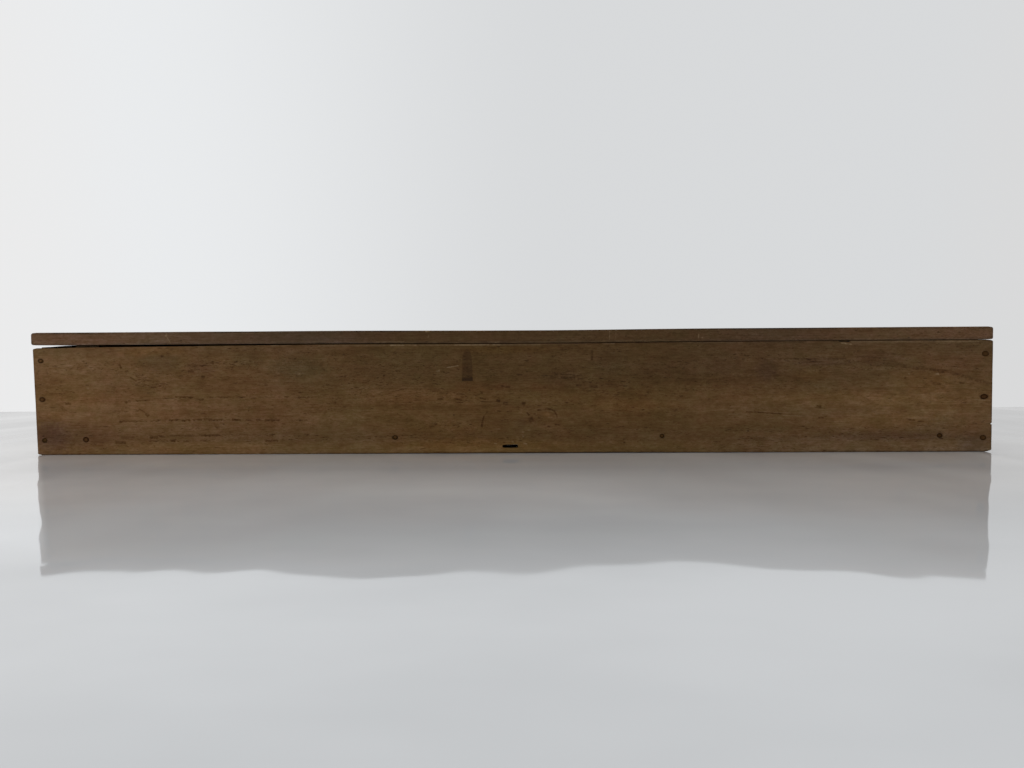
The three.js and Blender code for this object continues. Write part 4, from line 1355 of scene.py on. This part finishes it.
# scroll rests: a block with a half-round seat, modelled as a swept outline
for side, seed in (("left", 71), ("right", 73)):
    n = side + "_scroll_rest"
    lo, hi = node_box(n)
    w, zt, zb = hi[1], hi[2], lo[2]
    R, e = 13.0, 0.7
    outline = [(-w, zb)] + [(a, zb) for a in np.linspace(-w, w, 24)[1:-1]] + [(w, zb)]
    outline += [(w, a) for a in np.linspace(zb, zt, 12)[1:-1]] + [(w, zt - e), (w - e * 0.3, zt - e * 0.3), (w - e, zt)]
    outline += [(a, zt) for a in np.linspace(w - e, R + e, 8)[1:]]
    outline += [(R + 0.25, zt - 0.18)]
    outline += [(R * math.cos(a), zt - R * math.sin(a)) for a in np.linspace(0.05, math.pi - 0.05, 37)]
    outline += [(-R - 0.25, zt - 0.18)]
    outline += [(-a, zt) for a in np.linspace(R + e, w - e, 8)]
    outline += [(-w + e * 0.3, zt - e * 0.3), (-w, zt - e)]
    outline += [(-w, a) for a in np.linspace(zt, zb, 12)[1:-1]]
    outline = np.array(outline)
    centre = np.array([0.0, (zb + zt) / 2 - 4])
    xs = [(lo[0], 0.5), (lo[0] + 0.15, 0.15), (lo[0] + 0.5, 0.0)] + [(v, 0.0) for v in np.linspace(lo[0] + 0.5, hi[0] - 0.5, 8)[1:-1]] + [(hi[0] - 0.5, 0.0), (hi[0] - 0.15, 0.15), (hi[0], 0.5)]
    m = len(outline)
    nxt = np.roll(outline, -1, 0) - np.roll(outline, 1, 0)
    nor = np.stack([nxt[:, 1], -nxt[:, 0]], 1)
    nor /= np.linalg.norm(nor, axis=1, keepdims=True)
    pts, faces = [], []
    for xv, inset in xs:
        ring2 = outline - nor * inset
        pts += [(xv, a, b) for a, b in ring2]
    for k in range(len(xs) - 1):
        for i in range(m):
            j = (i + 1) % m
            faces.append([k * m + i, k * m + j, (k + 1) * m + j, (k + 1) * m + i])
    faces.append(list(range(m))[::-1])
    faces.append([(len(xs) - 1) * m + i for i in range(m)])
    ob = outward(mesh_object(n + "_wood", pts, faces))
    place(shade(ob, 45), n, "box", wood(n + "_wood", lo, hi, seed, grain="y", inside=everywhere, tone=0.93))


# ---------------------------------------------------------------------- pegs
def peg_material(name, seed, head, d, shape):
    """End of a hand-cut hardwood peg: a dark rim with a paler heart."""
    rz, oval, sunk, heart, rim, red = shape
    t = Tree(name)
    co = t.n.new("ShaderNodeTexCoord").outputs["Object"]
    p = t.mad3(co, (1000.0, 1000.0, 1000.0), (0.0, 0.0, 0.0))
    axis = int(np.argmax(np.abs(d)))
    i, j = {0: (1, 2), 1: (0, 2), 2: (0, 1)}[axis]
    s = t.split(p)
    g = np.random.default_rng(1200 + seed)
    shift = g.uniform(-0.28, 0.28, 2)
    ph = 3.7 * seed
    n1 = t.noise(t.mad3(p, (1.3, 1.3, 1.3), (ph, 3.0, 1.0)), detail=3, rough=0.6)
    n2 = t.noise(t.mad3(p, (4.5, 4.5, 4.5), (1.0, ph, 5.0)), detail=3, rough=0.6)
    a = t.mad(s[i], 1 / (oval * rz), -(float(head[i]) + float(shift[0])) / (oval * rz))
    b = t.mad(s[j], 1 / rz, -(float(head[j]) + float(shift[1])) / rz)
    r = t.math("SQRT", t.mad(a, a, t.mul(b, b)))
    r = t.add(r, t.mad(n1, 0.7, -0.35))
    dark = tuple(q + (w - q) * red for q, w in zip((0.034, 0.0175, 0.0028), (0.042, 0.0145, 0.0032)))
    pale = (0.156, 0.078, 0.029)
    mid = tuple(q + (w - q) * heart for q, w in zip(dark, pale))
    colour = t.mix(t.step(n2, 0.3, 0.7), tuple(c * 0.70 for c in mid), tuple(c * 1.25 for c in mid))
    # the dark rim is partly painted shade of the crevice round the head
    colour = t.mix(t.mul(t.step(r, 0.30, 0.78), 0.40 + 0.60 * rim), colour, dark)
    height = t.add(t.mul(n2, 0.6), t.mul(t.step(r, 0.5, 0.9), -0.6))
    return t.finish(colour, t.line(n1, 0.3, 0.7, 0.78, 0.6), height, 0.10, 0.8, sheen=0.06)


for i, n in enumerate(sorted(pegs)):
    head, d, length = pegs[n]
    rz, oval, sunk, heart, rim, red = look[n]
    pts, faces = rod_mesh(head + d * sunk, d, length - sunk, rz, 1.1, 200 + i, segments=36, proud=0.0, dome=0.10, oval=oval)
    ob = outward(mesh_object(n + "_wood", pts, faces))
    place(shade(ob, 50), n, "lid" if n.startswith("lid") else "box", peg_material(n + "_wood", i, head, d, look[n]))
remove(holes)


# --------------------------------------------------------------------- stage
def plane(name, x0, x1, y0, y1, z, nx=2, ny=2):
    xs, ys = np.linspace(x0, x1, nx), np.linspace(y0, y1, ny)
    pts = [(a, b, z) for a in xs for b in ys]
    faces = [[i * ny + j, (i + 1) * ny + j, (i + 1) * ny + j + 1, i * ny + j + 1] for i in range(nx - 1) for j in range(ny - 1)]
    return mesh_object(name, pts, faces)


floor = plane("table_top", -2600, 2600, -2600, 316, 0.0)
t = Tree("pale_gloss")
co = t.n.new("ShaderNodeTexCoord").outputs["Object"]
p = t.mad3(co, (1000.0, 1000.0, 1000.0), (0.0, 0.0, 0.0))
veil = t.noise(t.mad3(p, (0.004, 0.007, 0.01), (1.0, 2.0, 0.0)), detail=4, rough=0.55)
cloud = t.noise(t.mad3(p, (0.0016, 0.0026, 0.01), (4.0, 1.0, 0.0)), detail=3, rough=0.5)
col = t.mix(t.step(veil, 0.35, 0.7), (0.60, 0.615, 0.63), (0.68, 0.695, 0.71))
col = t.shade(col, t.line(cloud, 0.3, 0.7, 0.95, 1.05))
# painted shade: the table is a little greyer under and behind the box than near the viewer
xs, ys, _ = t.split(p)
near = t.mul(t.step(ys, -360.0, -180.0, 1.035, 0.81), t.step(ys, 20.0, 150.0, 1.0, 0.80))
# light is thrown back on to the table in front of the box, and comes past it at the left
thrown = t.mul(t.add(t.step(ys, -106.0, -58.0, 0.0, 0.46), t.step(ys, -68.0, -42.0, 0.0, 0.14)), t.step(t.math("ABSOLUTE", xs), 312.0, 296.0))
slant = t.step(t.mad(ys, 0.647, xs), -331.0, -336.0)
past = t.mul(t.mul(slant, t.step(ys, -306.0, -258.0, 0.0, 0.36)), t.step(ys, 60.0, -30.0))
# painted light: a little lighter towards the left
near = t.mul(near, t.step(xs, -320.0, 260.0, 1.03, 0.975))
col = t.shade(col, t.mad(t.add(thrown, past), near, near))
# painted reflection: warmer near the box, where the brown box is mirrored in the table
col = t.mix(t.step(ys, -260.0, -130.0), col, (1.04, 1.0, 0.965), "MULTIPLY")
wave = t.noise(t.mad3(p, (0.011, 0.006, 0.01), (2.0, 6.0, 0.0)), detail=1.5, rough=0.45)
pale_gloss = t.finish(col, 0.045, wave, 3.0, 1.0, ior=1.75)
floor.data.materials.append(pale_gloss)

# ---------------------------------------------------------------- world light
world = bpy.data.worlds.new("studio")
bpy.context.scene.world = world
world.use_nodes = True
wt = world.node_tree
wt.nodes.clear()
out = wt.nodes.new("ShaderNodeOutputWorld")
bg = wt.nodes.new("ShaderNodeBackground")
tc = wt.nodes.new("ShaderNodeTexCoord")
sep = wt.nodes.new("ShaderNodeSeparateXYZ")
wt.links.new(tc.outputs["Generated"], sep.inputs[0])


def wmath(op, a, b):
    n = wt.nodes.new("ShaderNodeMath")
    n.operation = op
    for s, v in zip(n.inputs, (a, b)):
        if isinstance(v, bpy.types.NodeSocket):
            wt.links.new(v, s)
        else:
            s.default_value = v
    return n.outputs[0]


def wrange(x, a, b, c, d):
    n = wt.nodes.new("ShaderNodeMapRange")
    n.interpolation_type = "SMOOTHSTEP"
    for s, v in zip(n.inputs[:5], (x, a, b, c, d)):
        if isinstance(v, bpy.types.NodeSocket):
            wt.links.new(v, s)
        else:
            s.default_value = v
    return n.outputs[0]


back = wrange(sep.outputs[1], -0.35, 0.6, 0.40, 0.80)
left = wrange(sep.outputs[0], -0.47, 0.06, 1.06, 0.885)
strength = wmath("MULTIPLY", back, left)
# a trace warmer towards both sides
warm = wt.nodes.new("ShaderNodeMix")
warm.data_type = "RGBA"
wt.links.new(wrange(wmath("ABSOLUTE", sep.outputs[0], 0.0), 0.42, 0.56, 0.0, 1.0), warm.inputs[0])
warm.inputs[6].default_value = (0.968, 0.985, 1.0, 1.0)
warm.inputs[7].default_value = (0.978, 0.980, 0.984, 1.0)
wt.links.new(warm.outputs[2], bg.inputs["Color"])
wt.links.new(strength, bg.inputs["Strength"])
wt.links.new(bg.outputs[0], out.inputs[0])


def area(name, loc, target, size, size_y, power, colour=(1, 1, 1)):
    li = bpy.data.lights.new(name, "AREA")
    li.shape = "RECTANGLE"
    li.size, li.size_y, li.energy, li.color = size, size_y, power, colour
    ob = bpy.data.objects.new(name, li)
    bpy.context.scene.collection.objects.link(ob)
    ob.location = loc
    ob.rotation_euler = (Vector(target) - Vector(loc)).to_track_quat("-Z", "Y").to_euler()
    ob.visible_glossy = False
    return ob


area("left_window", (-1.5, -0.9, 0.75), (-0.2, 0, 0.03), 0.9, 0.9, 5.0, (1.0, 0.985, 0.96))
area("right_fill", (1.5, -0.8, 0.7), (0.25, 0, 0.03), 0.8, 0.8, 2.6, (1.0, 0.985, 0.96))
area("overhead", (0.0, 1.0, 1.3), (0, -0.2, 0), 2.2, 1.0, 13.0)

# -------------------------------------------------------------------- camera
yaw, pitch, roll = (math.radians(a) for a in (-1.121, 2.722, -0.36))
fwd = Vector((math.sin(yaw) * math.cos(pitch), math.cos(yaw) * math.cos(pitch), -math.sin(pitch)))
right = Vector((math.cos(yaw), -math.sin(yaw), 0.0))
up = right.cross(fwd)
r2 = right * math.cos(roll) + up * math.sin(roll)
u2 = -right * math.sin(roll) + up * math.cos(roll)
cam = bpy.data.cameras.new("camera")
cam.lens, cam.sensor_width, cam.sensor_fit = 769 / 1024 * 36, 36, "HORIZONTAL"
cam.clip_start, cam.clip_end = 0.01, 50
cam_ob = bpy.data.objects.new("camera", cam)
bpy.context.scene.collection.objects.link(cam_ob)
m = Matrix.Identity(4)
for i in range(3):
    m[i][0], m[i][1], m[i][2] = r2[i], u2[i], -fwd[i]
m[0][3], m[1][3], m[2][3] = 0.013325, -0.5371, 0.06883
cam_ob.matrix_world = m
bpy.context.scene.camera = cam_ob
bpy.context.scene.view_settings.view_transform = "Standard"
